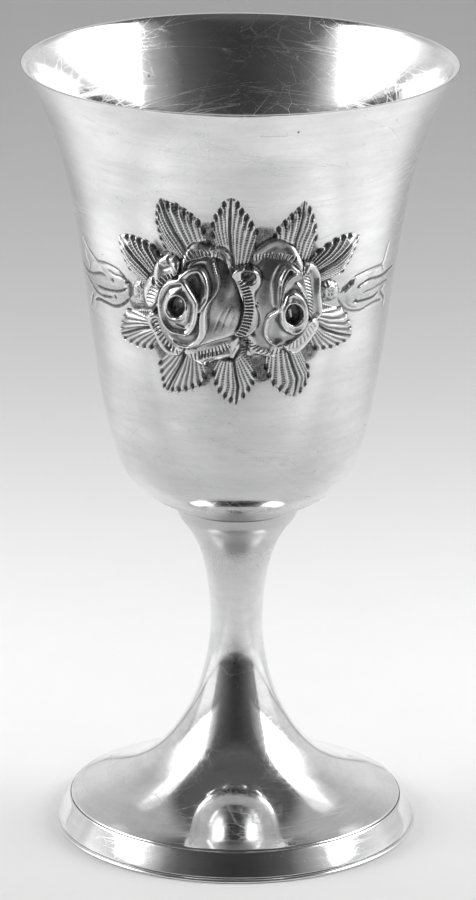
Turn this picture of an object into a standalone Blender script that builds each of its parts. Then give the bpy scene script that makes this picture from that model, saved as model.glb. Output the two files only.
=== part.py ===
"""Drinking goblet in sheet silver: a flared bowl with a chased rose spray,
a hollow trumpet stem and foot, an applied foot border and a base wire.

Metres, +Z up.  The origin is the centre of the circle the base wire stands
on.  The spray faces -Y.
"""
import math

import bmesh
import bpy
import numpy as np

MM = 0.001

# ---------------------------------------------------------------- dimensions
HEIGHT = 165.0            # table to rim
RIM_RADIUS = 44.85        # outside of the lip
FOOT_RADIUS = 38.30       # outside of the base wire
SEAM_RADIUS = 13.20       # where the stem's flare meets the bowl
SEAM_Z = 70.55
CREASE_RADIUS = 34.87     # outer edge of the trumpet sheet
CREASE_Z = 5.95
BOWL_WALL = 0.75          # raised sheet
LIP_WALL = 0.84           # thickened at the rounded lip
STEM_WALL = 0.75
FIT_GAP = 0.32            # room for solder between neighbours

# control points of the turned outlines, (radius, height)
BOWL_OUTLINE = [
    (0.0, 67.50), (4.0, 67.72), (8.0, 68.55), (11.0, 69.62),
    (SEAM_RADIUS, SEAM_Z), (15.50, 71.65), (18.05, 73.05), (20.80, 75.05),
    (23.05, 77.50), (24.95, 81.0), (26.55, 86.0), (28.05, 93.0),
    (29.45, 101.0), (30.65, 110.0), (31.90, 120.0), (33.35, 130.0),
    (35.20, 140.0), (37.80, 150.0), (41.00, 158.0), (43.00, 162.0),
]
STEM_OUTLINE = [
    (SEAM_RADIUS, 70.55), (12.45, 69.2), (11.60, 67.8), (10.15, 65.5),
    (8.50, 62.5), (7.15, 59.0), (6.32, 55.0), (5.78, 51.0), (5.48, 47.0),
    (5.42, 43.0), (5.76, 39.0), (6.52, 35.0), (7.55, 31.0), (8.95, 27.0),
    (10.70, 23.5), (12.90, 20.0), (15.25, 17.0), (17.80, 14.5),
    (20.50, 12.5), (23.40, 10.8), (26.35, 9.4), (28.75, 8.4),
    (30.80, 7.6), (32.40, 7.0), (CREASE_RADIUS, CREASE_Z),
]
BORDER_SECTION = [        # drawn strip with an inner ledge under the trumpet
    (35.20, 5.80), (35.75, 5.08), (36.45, 3.85), (37.12, 2.45),
    (37.78, 1.06), (36.75, 1.06), (35.60, 2.75), (34.40, 3.75),
    (32.60, 4.60), (32.60, 5.42), (35.20, 4.40),
]
WIRE_SECTION = [          # D-section wire that the goblet stands on
    (36.90, 0.74), (37.80, 0.74), (38.10, 0.66), (38.27, 0.46),
    (FOOT_RADIUS, 0.34), (38.24, 0.16), (38.08, 0.0), (36.90, 0.0),
]

# the chased spray, laid out on the wall: s runs round the wall at
# SPRAY_RADIUS, z is the height above the table, both in millimetres
SPRAY_RADIUS = 31.5
ROSES = [                 # centre s, z, half width, half height, proud
    (-10.6, 121.9, 9.0, 10.8, 4.6),
    (8.6, 122.6, 9.2, 11.0, 4.4),
]
LEAVES = [                # tip s, tip z, base s, base z, half width
    (-13.5, 144.7, -9.8, 132.0, 4.2), (-1.2, 146.0, 0.0, 131.0, 4.1),
    (11.7, 144.7, 11.0, 132.0, 4.1), (-23.9, 135.1, -16.5, 125.5, 4.2),
    (24.1, 135.4, 15.0, 127.5, 4.2), (-26.2, 114.2, -15.5, 119.5, 4.0),
    (25.7, 114.4, 14.0, 119.0, 4.0), (-15.9, 103.2, -9.5, 113.5, 4.6),
    (-0.2, 101.0, -1.0, 113.5, 4.5), (13.1, 102.2, 8.5, 114.0, 4.6),
]
SEPALS = [                # side buds: tip s, tip z, base s, base z, half width
    (-39.6, 131.3, -22.5, 124.5, 2.0), (-43.7, 123.2, -22.0, 122.5, 2.3),
    (-39.6, 116.0, -22.5, 121.0, 2.0), (40.7, 129.7, 21.5, 125.0, 2.0),
    (44.6, 123.1, 21.0, 122.8, 2.3), (41.0, 115.3, 21.5, 121.0, 2.0),
]

FOOT_ROUND = 72           # facets round the border and the wire
STEM_ROUND = 56           # facets round the stem and foot
BOWL_ROUND = 168          # columns round the bowl before even_out
BOWL_KEEP = 0.17          # share of the bowl's facets that even_out keeps


# ------------------------------------------------------------------- helpers
def spline(points, per_span):
    """Cubic B-spline through the run of control points, ends clamped."""
    p = [np.array(q, float) for q in points]
    p = [2 * p[0] - p[1]] + p + [2 * p[-1] - p[-2]]
    out = []
    for i in range(len(p) - 3):
        n = per_span(i) if callable(per_span) else per_span
        for k in range(n):
            t = k / n
            b = ((1 - t) ** 3, 3 * t ** 3 - 6 * t ** 2 + 4,
                 -3 * t ** 3 + 3 * t ** 2 + 3 * t + 1, t ** 3)
            out.append(sum(w * q for w, q in zip(b, p[i:i + 4])) / 6.0)
    out.append(np.array(points[-1], float))
    return np.array(out)


def offset_left(path, amount):
    """Move each point of a path to its left by amount (number or array)."""
    t = np.gradient(path, axis=0)
    t /= np.linalg.norm(t, axis=1)[:, None]
    n = np.stack([-t[:, 1], t[:, 0]], axis=1)
    return path + n * np.asarray(amount).reshape(-1, 1)


def turned(name, section, steps, material):
    """Spin a closed (r, z) section, given in millimetres, round the Z axis.

    A section whose ends lie on the axis is closed by the axis itself.
    """
    bm = bmesh.new()
    verts = [bm.verts.new((r * MM, 0.0, z * MM)) for r, z in section]
    edges = [bm.edges.new(pair) for pair in zip(verts, verts[1:])]
    if section[0][0] > 1e-6:
        edges.append(bm.edges.new((verts[-1], verts[0])))
    bmesh.ops.spin(bm, geom=verts + edges, cent=(0, 0, 0), axis=(0, 0, 1),
                   angle=2 * math.pi, steps=steps, use_merge=True,
                   use_duplicate=False)
    bmesh.ops.remove_doubles(bm, verts=bm.verts, dist=2e-6)
    bmesh.ops.recalc_face_normals(bm, faces=bm.faces)
    mesh = bpy.data.meshes.new(name)
    bm.to_mesh(mesh)
    bm.free()
    mesh.shade_smooth()
    mesh.set_sharp_from_angle(angle=math.radians(35))
    mesh.materials.append(material)
    obj = bpy.data.objects.new(name, mesh)
    bpy.context.scene.collection.objects.link(obj)
    return obj


def silver(name, colour, roughness):
    mat = bpy.data.materials.new(name)
    mat.use_nodes = True
    bsdf = mat.node_tree.nodes["Principled BSDF"]
    bsdf.inputs["Base Color"].default_value = (*colour, 1.0)
    bsdf.inputs["Metallic"].default_value = 1.0
    bsdf.inputs["Roughness"].default_value = roughness
    return mat


# ------------------------------------------------------------- spray relief
def leaf_height(s, z, tip_s, tip_z, base_s, base_z, half):
    """Serrated leaf: a low cushion with a sunk mid vein, zero outside."""
    ax, az = tip_s - base_s, tip_z - base_z
    length = math.hypot(ax, az)
    ax, az = ax / length, az / length
    along = ((s - base_s) * ax + (z - base_z) * az) / length
    across = -(s - base_s) * az + (z - base_z) * ax
    a = np.clip(along, 0.0, 1.0)
    edge = half * np.sin(np.pi * a ** 0.72) ** 0.75
    edge = edge * (1.0 - 0.16 * np.mod(a * 7.0, 1.0))
    inside = np.clip((edge - np.abs(across)) / 0.55, 0.0, 1.0)
    inside = np.where((along > 0) & (along < 1), inside, 0.0)
    vein = 1.0 - 0.45 * np.exp(-(across / 0.45) ** 2)
    ribs = 1.0 + 0.10 * np.sin((a * length - 0.6 * np.abs(across)) * 3.6)
    return inside * vein * ribs * (0.85 + 0.25 * (1 - a))


def rose_height(s, z, cs, cz, half_w, half_h, proud):
    """Full-blown rose: stepped rings of rolled petals round a deep bud."""
    x, y = (s - cs) / half_w, (z - cz) / half_h
    rho, phi = np.hypot(x, y), np.arctan2(y, x)
    scallop = 1.0 + 0.055 * np.cos(5.0 * phi + 0.6)
    q = rho / scallop
    dome = np.sqrt(np.clip(1.0 - q ** 2.4, 0.0, None))
    turn = q * 3.4 - phi / (2 * math.pi)
    step = np.mod(turn, 1.0)
    petal = 0.17 * np.sin(step * math.pi) - 0.20 * np.clip(
        (step - 0.82) / 0.18, 0.0, 1.0)
    bud = -0.36 * np.exp(-(q / 0.13) ** 2) + 0.12 * np.exp(
        -((q - 0.24) / 0.07) ** 2)
    return proud * np.clip(dome * 0.92 + (petal + bud) * (dome > 0.25), 0, None)


def spray_hollow(s, z):
    """How far the inside of the wall follows the roses out, in millimetres."""
    h = np.zeros_like(s)
    for cs, cz, half_w, half_h, proud in ROSES:
        q = np.hypot((s - cs) / half_w, (z - cz) / half_h)
        h = np.maximum(h, 0.45 * proud * np.clip(1.0 - q ** 2, 0, None) ** 1.5)
    return h


def spray_height(s, z):
    """Height of the chased spray above the wall, in millimetres."""
    h = np.zeros_like(s)
    for sep in SEPALS:
        h = np.maximum(h, 0.38 * leaf_height(s, z, *sep))
    for leaf in LEAVES:
        h = np.maximum(h, 0.95 * leaf_height(s, z, *leaf))
    for rose in ROSES:
        h = np.maximum(h, rose_height(s, z, *rose))
    return h


# -------------------------------------------------------------------- pieces
def make_bowl(material):
    """Raised bowl; the spray is worked up out of its own wall."""
    def rows(i):
        return 9 if 11 <= i < 17 else 2
    outer = spline(BOWL_OUTLINE + [(RIM_RADIUS, HEIGHT)], rows)
    outer[0] = (0.0, BOWL_OUTLINE[0][1])
    wall = BOWL_WALL + (LIP_WALL - BOWL_WALL) * np.clip(
        (outer[:, 1] - 140.0) / 25.0, 0.0, 1.0)
    keep = outer[:, 1] < HEIGHT - 1.2
    inner = offset_left(outer, wall)[keep][::-1][::3]
    inner = [q for q in inner if q[0] > 1.5] + [
        np.array((0.0, BOWL_OUTLINE[0][1] + BOWL_WALL))]
    # half-round lip
    lip_r = 0.5 * LIP_WALL
    lip_c = np.array((RIM_RADIUS - lip_r, HEIGHT - lip_r))
    lip = [lip_c + lip_r * np.array((math.cos(a), math.sin(a)))
           for a in np.radians((0, 45, 90, 135, 180))]
    body = [q for q in outer if q[1] < HEIGHT - 0.75]
    section = [tuple(q) for q in body] + [tuple(q) for q in lip] + [
        tuple(q) for q in inner]
    bowl = turned("bowl", section, BOWL_ROUND, material)
    # crowd the columns towards the front, where the spray is
    mesh = bowl.data
    n = len(mesh.vertices)
    co = np.empty(n * 3)
    mesh.vertices.foreach_get("co", co)
    co = co.reshape(n, 3)
    r = np.hypot(co[:, 0], co[:, 1])
    turn = np.arctan2(co[:, 0], -co[:, 1])
    turn = turn - 0.62 * np.sin(turn)
    z = co[:, 2]
    # the outside of the wall is where r is at least the outline's radius
    r_out = np.interp(z / MM, outer[:, 1], outer[:, 0]) * MM
    worked = (z > 90 * MM) & (z < 152 * MM)
    outside = r > r_out - 0.35 * MM
    s = turn * SPRAY_RADIUS
    h = MM * worked * np.where(outside, spray_height(s, z / MM),
                               spray_hollow(s, z / MM))
    slope = np.interp(z / MM, outer[:-1, 1],
                      np.diff(outer[:, 0]) / np.maximum(
                          np.diff(outer[:, 1]), 1e-6))
    k = 1.0 / np.sqrt(1.0 + slope ** 2)
    r = r + h * k
    z = z - h * k * slope
    co = np.stack([r * np.sin(turn), -r * np.cos(turn), z], axis=1)
    mesh.vertices.foreach_set("co", co.reshape(-1))
    mesh.update()
    dec = bowl.modifiers.new("even_out", "DECIMATE")
    dec.decimate_type = "COLLAPSE"
    dec.ratio = BOWL_KEEP
    dec.use_collapse_triangulate = True
    return bowl


def make_stem(material):
    """Hollow trumpet: stem and foot in one sheet, open underneath."""
    outer = spline(STEM_OUTLINE, 1)
    outer = np.array([q for q in outer if q[1] < SEAM_Z - FIT_GAP * 1.25])
    inner = offset_left(outer, -STEM_WALL)
    # trim both ends of the sheet: square at the foot, to the bowl at the top
    top_z = float(outer[0][1])
    inner[0] = (outer[0][0] - 1.25, top_z - 0.62)
    inner[-1] = (CREASE_RADIUS - 0.02, CREASE_Z - 1.05)
    inner = np.vstack([inner[:1], inner[2:-1:2], inner[-1:]])
    section = [tuple(q) for q in outer] + [tuple(q) for q in inner[::-1]]
    return turned("stem_and_foot", section, STEM_ROUND, material)


def build():
    for obj in list(bpy.data.objects):
        bpy.data.objects.remove(obj, do_unlink=True)
    satin = silver("silver_bowl", (0.83, 0.82, 0.80), 0.24)
    bright = silver("silver_foot", (0.85, 0.84, 0.82), 0.12)
    edge = silver("silver_border", (0.85, 0.84, 0.82), 0.14)
    wire = silver("silver_wire", (0.84, 0.83, 0.81), 0.18)
    make_bowl(satin)
    make_stem(bright)
    turned("foot_border", BORDER_SECTION, FOOT_ROUND, edge)
    turned("base_wire", WIRE_SECTION, FOOT_ROUND, wire)


build()
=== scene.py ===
import math

import bpy
import numpy as np
from mathutils import Matrix, Vector


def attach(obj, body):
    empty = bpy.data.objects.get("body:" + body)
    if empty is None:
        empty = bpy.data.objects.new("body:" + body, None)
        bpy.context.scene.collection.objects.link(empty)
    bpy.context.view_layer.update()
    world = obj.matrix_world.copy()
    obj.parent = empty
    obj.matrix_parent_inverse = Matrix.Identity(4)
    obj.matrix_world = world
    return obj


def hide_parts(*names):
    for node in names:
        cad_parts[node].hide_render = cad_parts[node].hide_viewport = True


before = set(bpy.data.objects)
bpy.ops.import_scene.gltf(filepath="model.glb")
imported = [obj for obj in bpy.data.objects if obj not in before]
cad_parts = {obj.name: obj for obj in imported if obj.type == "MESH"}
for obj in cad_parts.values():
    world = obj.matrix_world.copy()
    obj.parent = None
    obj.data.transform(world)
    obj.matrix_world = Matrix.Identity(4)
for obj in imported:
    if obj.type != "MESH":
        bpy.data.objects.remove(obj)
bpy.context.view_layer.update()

MM = 0.001

# ------------------------------------------------------------------ sizes, mm
RIM_RADIUS = 44.74
HEIGHT = 165.0
BOWL_OUTLINE = [(0, 67.50), (4, 67.72), (8, 68.55), (11, 69.62), (13.20, 70.55),
                (15.50, 71.65), (18.05, 73.05), (20.80, 75.05), (23.05, 77.50),
                (24.95, 81), (26.55, 86), (28.05, 93), (29.45, 101),
                (30.65, 110), (31.90, 120), (33.35, 130), (35.20, 140),
                (37.80, 150), (41.00, 158), (43.00, 162), (RIM_RADIUS, 165)]
STEM_OUTLINE = [(13.20, 70.55), (12.95, 69.9), (12.60, 69.0), (12.25, 68.1),
                (11.75, 67.3), (10.70, 66.1), (9.60, 64.5), (8.50, 62.5), (7.15, 59), (6.32, 55), (5.78, 51), (5.48, 47),
                (5.42, 43), (5.76, 39), (6.52, 35), (7.55, 31), (8.95, 27),
                (10.70, 23.5), (12.90, 20), (15.25, 17), (17.80, 14.5),
                (20.50, 12.5), (23.40, 10.8), (26.35, 9.4), (28.75, 8.4),
                (30.80, 7.6), (32.40, 7.0), (34.87, 5.95)]
BORDER_FACE = [(35.08, 5.84), (35.26, 5.66), (35.60, 5.06), (36.20, 3.98),
               (36.80, 2.90), (37.38, 1.86), (37.70, 1.22), (37.76, 1.06)]
BORDER_BACK = [(37.60, 0.98), (36.75, 1.06), (35.60, 2.75), (34.40, 3.75),
               (32.60, 4.60), (32.60, 5.42), (34.90, 4.55), (35.02, 5.60)]
WIRE_SECTION = [(36.90, 0.86), (37.60, 0.86), (38.05, 0.76), (38.26, 0.52),
                (38.30, 0.36), (38.24, 0.16), (38.05, 0.0), (36.90, 0.0)]
BOWL_WALL = 0.75
LIP_WALL = 0.84
STEM_WALL = 0.75
SPRAY_RADIUS = 31.5       # s = angle round the wall times this radius


# ----------------------------------------------------------------- mesh tools
def spline(points, per_span):
    """Cubic B-spline through a run of control points, ends clamped."""
    p = [np.array(q, float) for q in points]
    p = [2 * p[0] - p[1]] + p + [2 * p[-1] - p[-2]]
    out = []
    for i in range(len(p) - 3):
        for k in range(per_span):
            t = k / per_span
            b = ((1 - t) ** 3, 3 * t ** 3 - 6 * t ** 2 + 4,
                 -3 * t ** 3 + 3 * t ** 2 + 3 * t + 1, t ** 3)
            out.append(sum(w * q for w, q in zip(b, p[i:i + 4])) / 6.0)
    out.append(np.array(points[-1], float))
    return np.array(out)


def normals_of(path):
    """Left-hand unit normals of a path in the (r, z) plane."""
    t = np.gradient(path, axis=0)
    t /= np.linalg.norm(t, axis=1)[:, None]
    return np.stack([-t[:, 1], t[:, 0]], axis=1)


def spaced(path, step):
    """Points along a path, about one step of length apart."""
    d = np.concatenate([[0], np.cumsum(np.linalg.norm(np.diff(path, axis=0), axis=1))])
    n = max(2, int(round(d[-1] / step)) + 1)
    at = np.linspace(0, d[-1], n)
    return np.stack([np.interp(at, d, path[:, k]) for k in (0, 1)], axis=1)


def grid_piece(name, points, close_start, close_end, wrap_rows=False, marks=None):
    """Mesh from rows x columns of points that goes round the Z axis.

    close_start and close_end are axis points (x, y, z) or None. With
    wrap_rows the last row joins the first, which makes a closed ring.
    """
    rows, cols = points.shape[:2]
    verts = points.reshape(-1, 3)
    i = np.arange(rows if wrap_rows else rows - 1)[:, None]
    j = np.arange(cols)[None, :]
    a = i * cols + j
    b = i * cols + (j + 1) % cols
    c = ((i + 1) % rows) * cols + (j + 1) % cols
    d = ((i + 1) % rows) * cols + j
    quads = np.stack(np.broadcast_arrays(a, b, c, d), axis=-1).reshape(-1, 4)
    tris = []
    extra = []
    jj = np.arange(cols)
    if close_start is not None:
        k = len(verts) + len(extra)
        extra.append(close_start)
        tris.append(np.stack([np.full(cols, k), (jj + 1) % cols, jj], axis=1))
    if close_end is not None:
        k = len(verts) + len(extra)
        extra.append(close_end)
        base = (rows - 1) * cols
        tris.append(np.stack([base + jj, base + (jj + 1) % cols, np.full(cols, k)], axis=1))
    if extra:
        verts = np.vstack([verts, np.array(extra, float)])
    tri = np.vstack(tris) if tris else np.zeros((0, 3), int)
    mesh = bpy.data.meshes.new(name)
    mesh.vertices.add(len(verts))
    mesh.vertices.foreach_set("co", (verts * MM).astype(np.float32).ravel())
    loops = np.concatenate([quads.ravel(), tri.ravel()]).astype(np.int32)
    mesh.loops.add(len(loops))
    mesh.loops.foreach_set("vertex_index", loops)
    mesh.polygons.add(len(quads) + len(tri))
    starts = np.concatenate([np.arange(len(quads)) * 4,
                             len(quads) * 4 + np.arange(len(tri)) * 3]).astype(np.int32)
    mesh.polygons.foreach_set("loop_start", starts)
    mesh.update(calc_edges=True)
    mesh.validate()
    mesh.shade_smooth()
    for key, values in (marks or {}).items():
        full = np.zeros(len(verts), np.float32)
        full[:len(values)] = values
        layer = mesh.attributes.new(key, "FLOAT", "POINT")
        layer.data.foreach_set("value", full)
    obj = bpy.data.objects.new(name, mesh)
    bpy.context.scene.collection.objects.link(obj)
    return obj


def turned(section, angles):
    """Rows x columns of points from an (r, z) section and column angles.

    Angle 0 is the front (-Y) and angles grow towards +X.
    """
    r, z = section[:, 0][:, None], section[:, 1][:, None]
    return np.stack([r * np.sin(angles)[None, :], -r * np.cos(angles)[None, :],
                     np.broadcast_to(z, (len(section), len(angles)))], axis=-1)


# ------------------------------------------------------------------ materials
def new_material(name):
    mat = bpy.data.materials.new(name)
    mat.use_nodes = True
    tree = mat.node_tree
    return mat, tree, tree.nodes["Principled BSDF"]


def node(tree, kind, **settings):
    n = tree.nodes.new(kind)
    for key, value in settings.items():
        if key in n.inputs:
            n.inputs[key].default_value = value
        else:
            setattr(n, key, value)
    return n


def maths(tree, operation, a, b=None, clamp=False):
    n = tree.nodes.new("ShaderNodeMath")
    n.operation = operation
    n.use_clamp = clamp
    for k, value in enumerate((a, b)):
        if value is None:
            continue
        if isinstance(value, (int, float)):
            n.inputs[k].default_value = value
        else:
            tree.links.new(value, n.inputs[k])
    return n.outputs[0]


def ramp(tree, value, stops):
    n = tree.nodes.new("ShaderNodeValToRGB")
    tree.links.new(value, n.inputs[0])
    while len(n.color_ramp.elements) > 1:
        n.color_ramp.elements.remove(n.color_ramp.elements[-1])
    for k, (at, level) in enumerate(stops):
        e = n.color_ramp.elements[0] if k == 0 else n.color_ramp.elements.new(at)
        e.position = at
        e.color = (level, level, level, 1.0)
    return n.outputs[0]


def around(tree):
    """Position as (distance round the form, radius, height), joined at the back."""
    coords = node(tree, "ShaderNodeTexCoord")
    parts = node(tree, "ShaderNodeSeparateXYZ")
    tree.links.new(coords.outputs["Object"], parts.inputs[0])
    x, y = parts.outputs["X"], parts.outputs["Y"]
    turn = maths(tree, "ARCTAN2", x, maths(tree, "MULTIPLY", y, -1.0))
    radius = maths(tree, "SQRT", maths(tree, "ADD", maths(tree, "MULTIPLY", x, x), maths(tree, "MULTIPLY", y, y)))
    joined = node(tree, "ShaderNodeCombineXYZ")
    tree.links.new(maths(tree, "MULTIPLY", turn, 0.030), joined.inputs["X"])
    tree.links.new(radius, joined.inputs["Y"])
    tree.links.new(parts.outputs["Z"], joined.inputs["Z"])
    return joined.outputs[0]


def streaks(tree, scale, detail, out=0, wound=False):
    """Noise stretched along one direction of the object's own space."""
    coords = node(tree, "ShaderNodeTexCoord")
    mapping = node(tree, "ShaderNodeMapping")
    mapping.inputs["Scale"].default_value = scale
    tree.links.new(around(tree) if wound else coords.outputs["Object"], mapping.inputs["Vector"])
    noise = node(tree, "ShaderNodeTexNoise", Scale=1.0, Detail=detail, Roughness=0.6)
    tree.links.new(mapping.outputs[0], noise.inputs["Vector"])
    return noise.outputs[out]


def hairlines(tree, scale, turn, width, wound=False):
    """Long thin scratches: edges of stretched cells, broken up by noise."""
    coords = node(tree, "ShaderNodeTexCoord")
    mapping = node(tree, "ShaderNodeMapping")
    tilt = node(tree, "ShaderNodeMapping")
    tilt.inputs["Rotation"].default_value = turn
    tree.links.new(around(tree) if wound else coords.outputs["Object"], tilt.inputs["Vector"])
    mapping.inputs["Scale"].default_value = scale
    tree.links.new(tilt.outputs[0], mapping.inputs["Vector"])
    cells = node(tree, "ShaderNodeTexVoronoi", feature="DISTANCE_TO_EDGE", Scale=1.0)
    tree.links.new(mapping.outputs[0], cells.inputs["Vector"])
    line = ramp(tree, cells.outputs["Distance"], [(0.0, 1.0), (width, 0.0)])
    patch = node(tree, "ShaderNodeTexNoise", Scale=0.35, Detail=2.0)
    tree.links.new(mapping.outputs[0], patch.inputs["Vector"])
    return maths(tree, "MULTIPLY", line, ramp(tree, patch.outputs[0], [(0.42, 0.0), (0.62, 1.0)]))


def silver(name, rough, marks=1.0, oxidised=False, join_shade_and_rough=None, darker_by_height=None):
    """Worn polished silver: spun marks, scratches, handling haze, pits."""
    mat, tree, bsdf = new_material(name)
    bsdf.inputs["Metallic"].default_value = 1.0
    link = tree.links.new
    # haze from handling and old polish: cloudy, a little stretched round the form
    cloud = streaks(tree, (46, 46, 95), 5.0)
    wipe = streaks(tree, (90, 300, 700), 4.0, wound=True)
    haze = ramp(tree, maths(tree, "ADD", maths(tree, "MULTIPLY", cloud, 0.72), maths(tree, "MULTIPLY", wipe, 0.28)),
                [(0.40, 0.0), (0.64, 1.0)])
    colour = node(tree, "ShaderNodeMix", data_type="RGBA")
    colour.inputs["A"].default_value = (0.93, 0.93, 0.93, 1.0)
    colour.inputs["B"].default_value = (0.74, 0.74, 0.745, 1.0)
    link(haze, colour.inputs["Factor"])
    shade = colour.outputs["Result"]
    # scratches in several directions
    scratch = None
    for scale, turn, width, wound in (((28, 300, 640), (0.0, 0.05, 0.0), 0.040, True),
                                      ((40, 260, 520), (0.0, -0.16, 0.1), 0.034, True),
                                      ((60, 240, 420), (0.0, 0.62, 0.0), 0.026, True),
                                      ((55, 260, 440), (0.0, -0.75, 0.1), 0.026, True),
                                      ((360, 40, 300), (1.1, 0.3, 0.7), 0.024, False)):
        line = hairlines(tree, scale, turn, width, wound)
        scratch = line if scratch is None else maths(tree, "MAXIMUM", scratch, line)
    # micro-scratched share of the surface
    micro = ramp(tree, streaks(tree, (2600, 2600, 4200), 2.0), [(0.58, 0.0), (0.72, 1.0)])
    roughness = maths(tree, "MULTIPLY_ADD", haze, 0.045)
    roughness.node.inputs[2].default_value = rough
    roughness = maths(tree, "ADD", roughness, maths(tree, "MULTIPLY", micro, 0.10 * marks))
    roughness = maths(tree, "ADD", roughness, maths(tree, "MULTIPLY", scratch, 0.22 * marks))
    # small dark pits, few and far between
    coords = node(tree, "ShaderNodeTexCoord")
    spots = node(tree, "ShaderNodeTexVoronoi", feature="F1", Scale=170.0)
    link(coords.outputs["Object"], spots.inputs["Vector"])
    chance = node(tree, "ShaderNodeSeparateXYZ")
    link(spots.outputs["Color"], chance.inputs[0])
    pit = maths(tree, "MULTIPLY", ramp(tree, spots.outputs["Distance"], [(0.025, 1.0), (0.060, 0.0)]),
                ramp(tree, chance.outputs["X"], [(0.66, 0.0), (0.70, 0.8), (1.0, 1.0)]))
    pitted = node(tree, "ShaderNodeMix", data_type="RGBA")
    pitted.inputs["B"].default_value = (0.12, 0.12, 0.12, 1.0)
    link(pit, pitted.inputs["Factor"])
    link(shade, pitted.inputs["A"])
    shade = pitted.outputs["Result"]
    worn = node(tree, "ShaderNodeMix", data_type="RGBA")
    worn.inputs["B"].default_value = (0.48, 0.48, 0.48, 1.0)
    link(maths(tree, "MULTIPLY", scratch, 0.11), worn.inputs["Factor"])
    link(shade, worn.inputs["A"])
    shade = worn.outputs["Result"]
    level = node(tree, "ShaderNodeSeparateXYZ")
    link(coords.outputs["Object"], level.inputs[0])
    rise = maths(tree, "MULTIPLY", level.outputs["Z"], 5.0)
    if darker_by_height:
        # the colour is darker towards one end of the wall, set by height
        height_dim = node(tree, "ShaderNodeMix", data_type="RGBA", blend_type="MULTIPLY")
        height_dim.inputs["Factor"].default_value = 1.0
        link(shade, height_dim.inputs["A"])
        link(ramp(tree, rise, [(z * 5.0, v) for z, v in darker_by_height]), height_dim.inputs["B"])
        shade = height_dim.outputs["Result"]
    if join_shade_and_rough:
        # painted shade near the join of bowl and stem; that part is also made rougher
        dim = ramp(tree, rise, [(z * 5.0, v) for z, v in join_shade_and_rough])
        left = node(tree, "ShaderNodeMix", data_type="RGBA")
        left.inputs["B"].default_value = (0.50, 0.50, 0.50, 1.0)
        link(dim, left.inputs["Factor"])
        link(shade, left.inputs["A"])
        shade = left.outputs["Result"]
        roughness = maths(tree, "ADD", roughness, maths(tree, "MULTIPLY", dim, 0.30))
    # slow unevenness of the hand-finished wall, then spun marks, then scratches
    swell = node(tree, "ShaderNodeBump", Strength=0.55, Distance=1e-4)
    link(streaks(tree, (60, 60, 60), 2.0), swell.inputs["Height"])
    bump = node(tree, "ShaderNodeBump", Strength=0.10 * marks, Distance=1e-5)
    link(streaks(tree, (50, 2600, 3200), 3.0, wound=True), bump.inputs["Height"])
    link(swell.outputs["Normal"], bump.inputs["Normal"])
    more = node(tree, "ShaderNodeBump", Strength=0.2 * marks, Distance=1e-5, invert=True)
    link(scratch, more.inputs["Height"])
    link(bump.outputs["Normal"], more.inputs["Normal"])
    link(more.outputs["Normal"], bsdf.inputs["Normal"])
    if oxidised:
        recess = node(tree, "ShaderNodeAttribute", attribute_name="recess")
        grain = streaks(tree, (1900, 1900, 1900), 4.0)
        depth = maths(tree, "MULTIPLY", recess.outputs["Fac"],
                      ramp(tree, grain, [(0.25, 0.72), (0.7, 1.0)]), clamp=True)
        worked = node(tree, "ShaderNodeAttribute", attribute_name="worked")
        # the chased part is greyer and brushed: fine uneven film
        film = maths(tree, "MULTIPLY", worked.outputs["Fac"],
                     ramp(tree, streaks(tree, (900, 900, 420), 5.0), [(0.35, 0.0), (0.7, 0.78)]), clamp=True)
        grey = node(tree, "ShaderNodeMix", data_type="RGBA")
        grey.inputs["B"].default_value = (0.55, 0.55, 0.555, 1.0)
        link(film, grey.inputs["Factor"])
        link(shade, grey.inputs["A"])
        shade = grey.outputs["Result"]
        dark = node(tree, "ShaderNodeMix", data_type="RGBA")
        dark.inputs["B"].default_value = (0.045, 0.045, 0.047, 1.0)
        link(depth, dark.inputs["Factor"])
        link(shade, dark.inputs["A"])
        shade = dark.outputs["Result"]
        dull = maths(tree, "ADD", maths(tree, "MULTIPLY", depth, 0.26),
                     maths(tree, "MULTIPLY", worked.outputs["Fac"], 0.13))
        roughness = maths(tree, "ADD", roughness, dull)
    link(shade, bsdf.inputs["Base Color"])
    link(roughness, bsdf.inputs["Roughness"])
    return mat


# --------------------------------------------------------------------- spray
# The spray is drawn as the front view shows it (picture points, x right and
# y down, 476 x 900) and each drawn point is laid on the turned wall.
VIEW_FOCUS = 5330.0
VIEW_POINT = np.array([0.0, -1060.0, 420.0])
VIEW_DOWN = math.radians(17.69)
VIEW_LEAN = math.radians(0.41)
VIEW_MIDDLE = (237.6, 450.0)
WALL_CURVE = spline(BOWL_OUTLINE, 24)


def to_wall(drawn, proud=0.0):
    """(x, y) drawing points to (s, z) on the wall; proud is how far, in mm,
    the drawn feature stands off the wall."""
    p = np.atleast_2d(np.array(drawn, float))
    dx, dy = p[:, 0] - VIEW_MIDDLE[0], p[:, 1] - VIEW_MIDDLE[1]
    c, s = math.cos(VIEW_LEAN), math.sin(VIEW_LEAN)
    u, v = (dx * c + dy * s) / VIEW_FOCUS, (-dx * s + dy * c) / VIEW_FOCUS
    c, s = math.cos(VIEW_DOWN), math.sin(VIEW_DOWN)
    ray = np.stack([u, c - v * s, -s - v * c], axis=1)
    z = np.full(len(p), 122.0)
    for _ in range(14):
        r = np.interp(z, WALL_CURVE[:, 1], WALL_CURVE[:, 0]) + proud
        a = ray[:, 0] ** 2 + ray[:, 1] ** 2
        b = VIEW_POINT[1] * ray[:, 1]
        t = (-b - np.sqrt(np.maximum(b * b - a * (VIEW_POINT[1] ** 2 - r * r), 0.0))) / a
        z = VIEW_POINT[2] + t * ray[:, 2]
    x, y = t * ray[:, 0], VIEW_POINT[1] + t * ray[:, 1]
    return np.stack([np.arctan2(x, -y) * SPRAY_RADIUS, z], axis=1)


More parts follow.
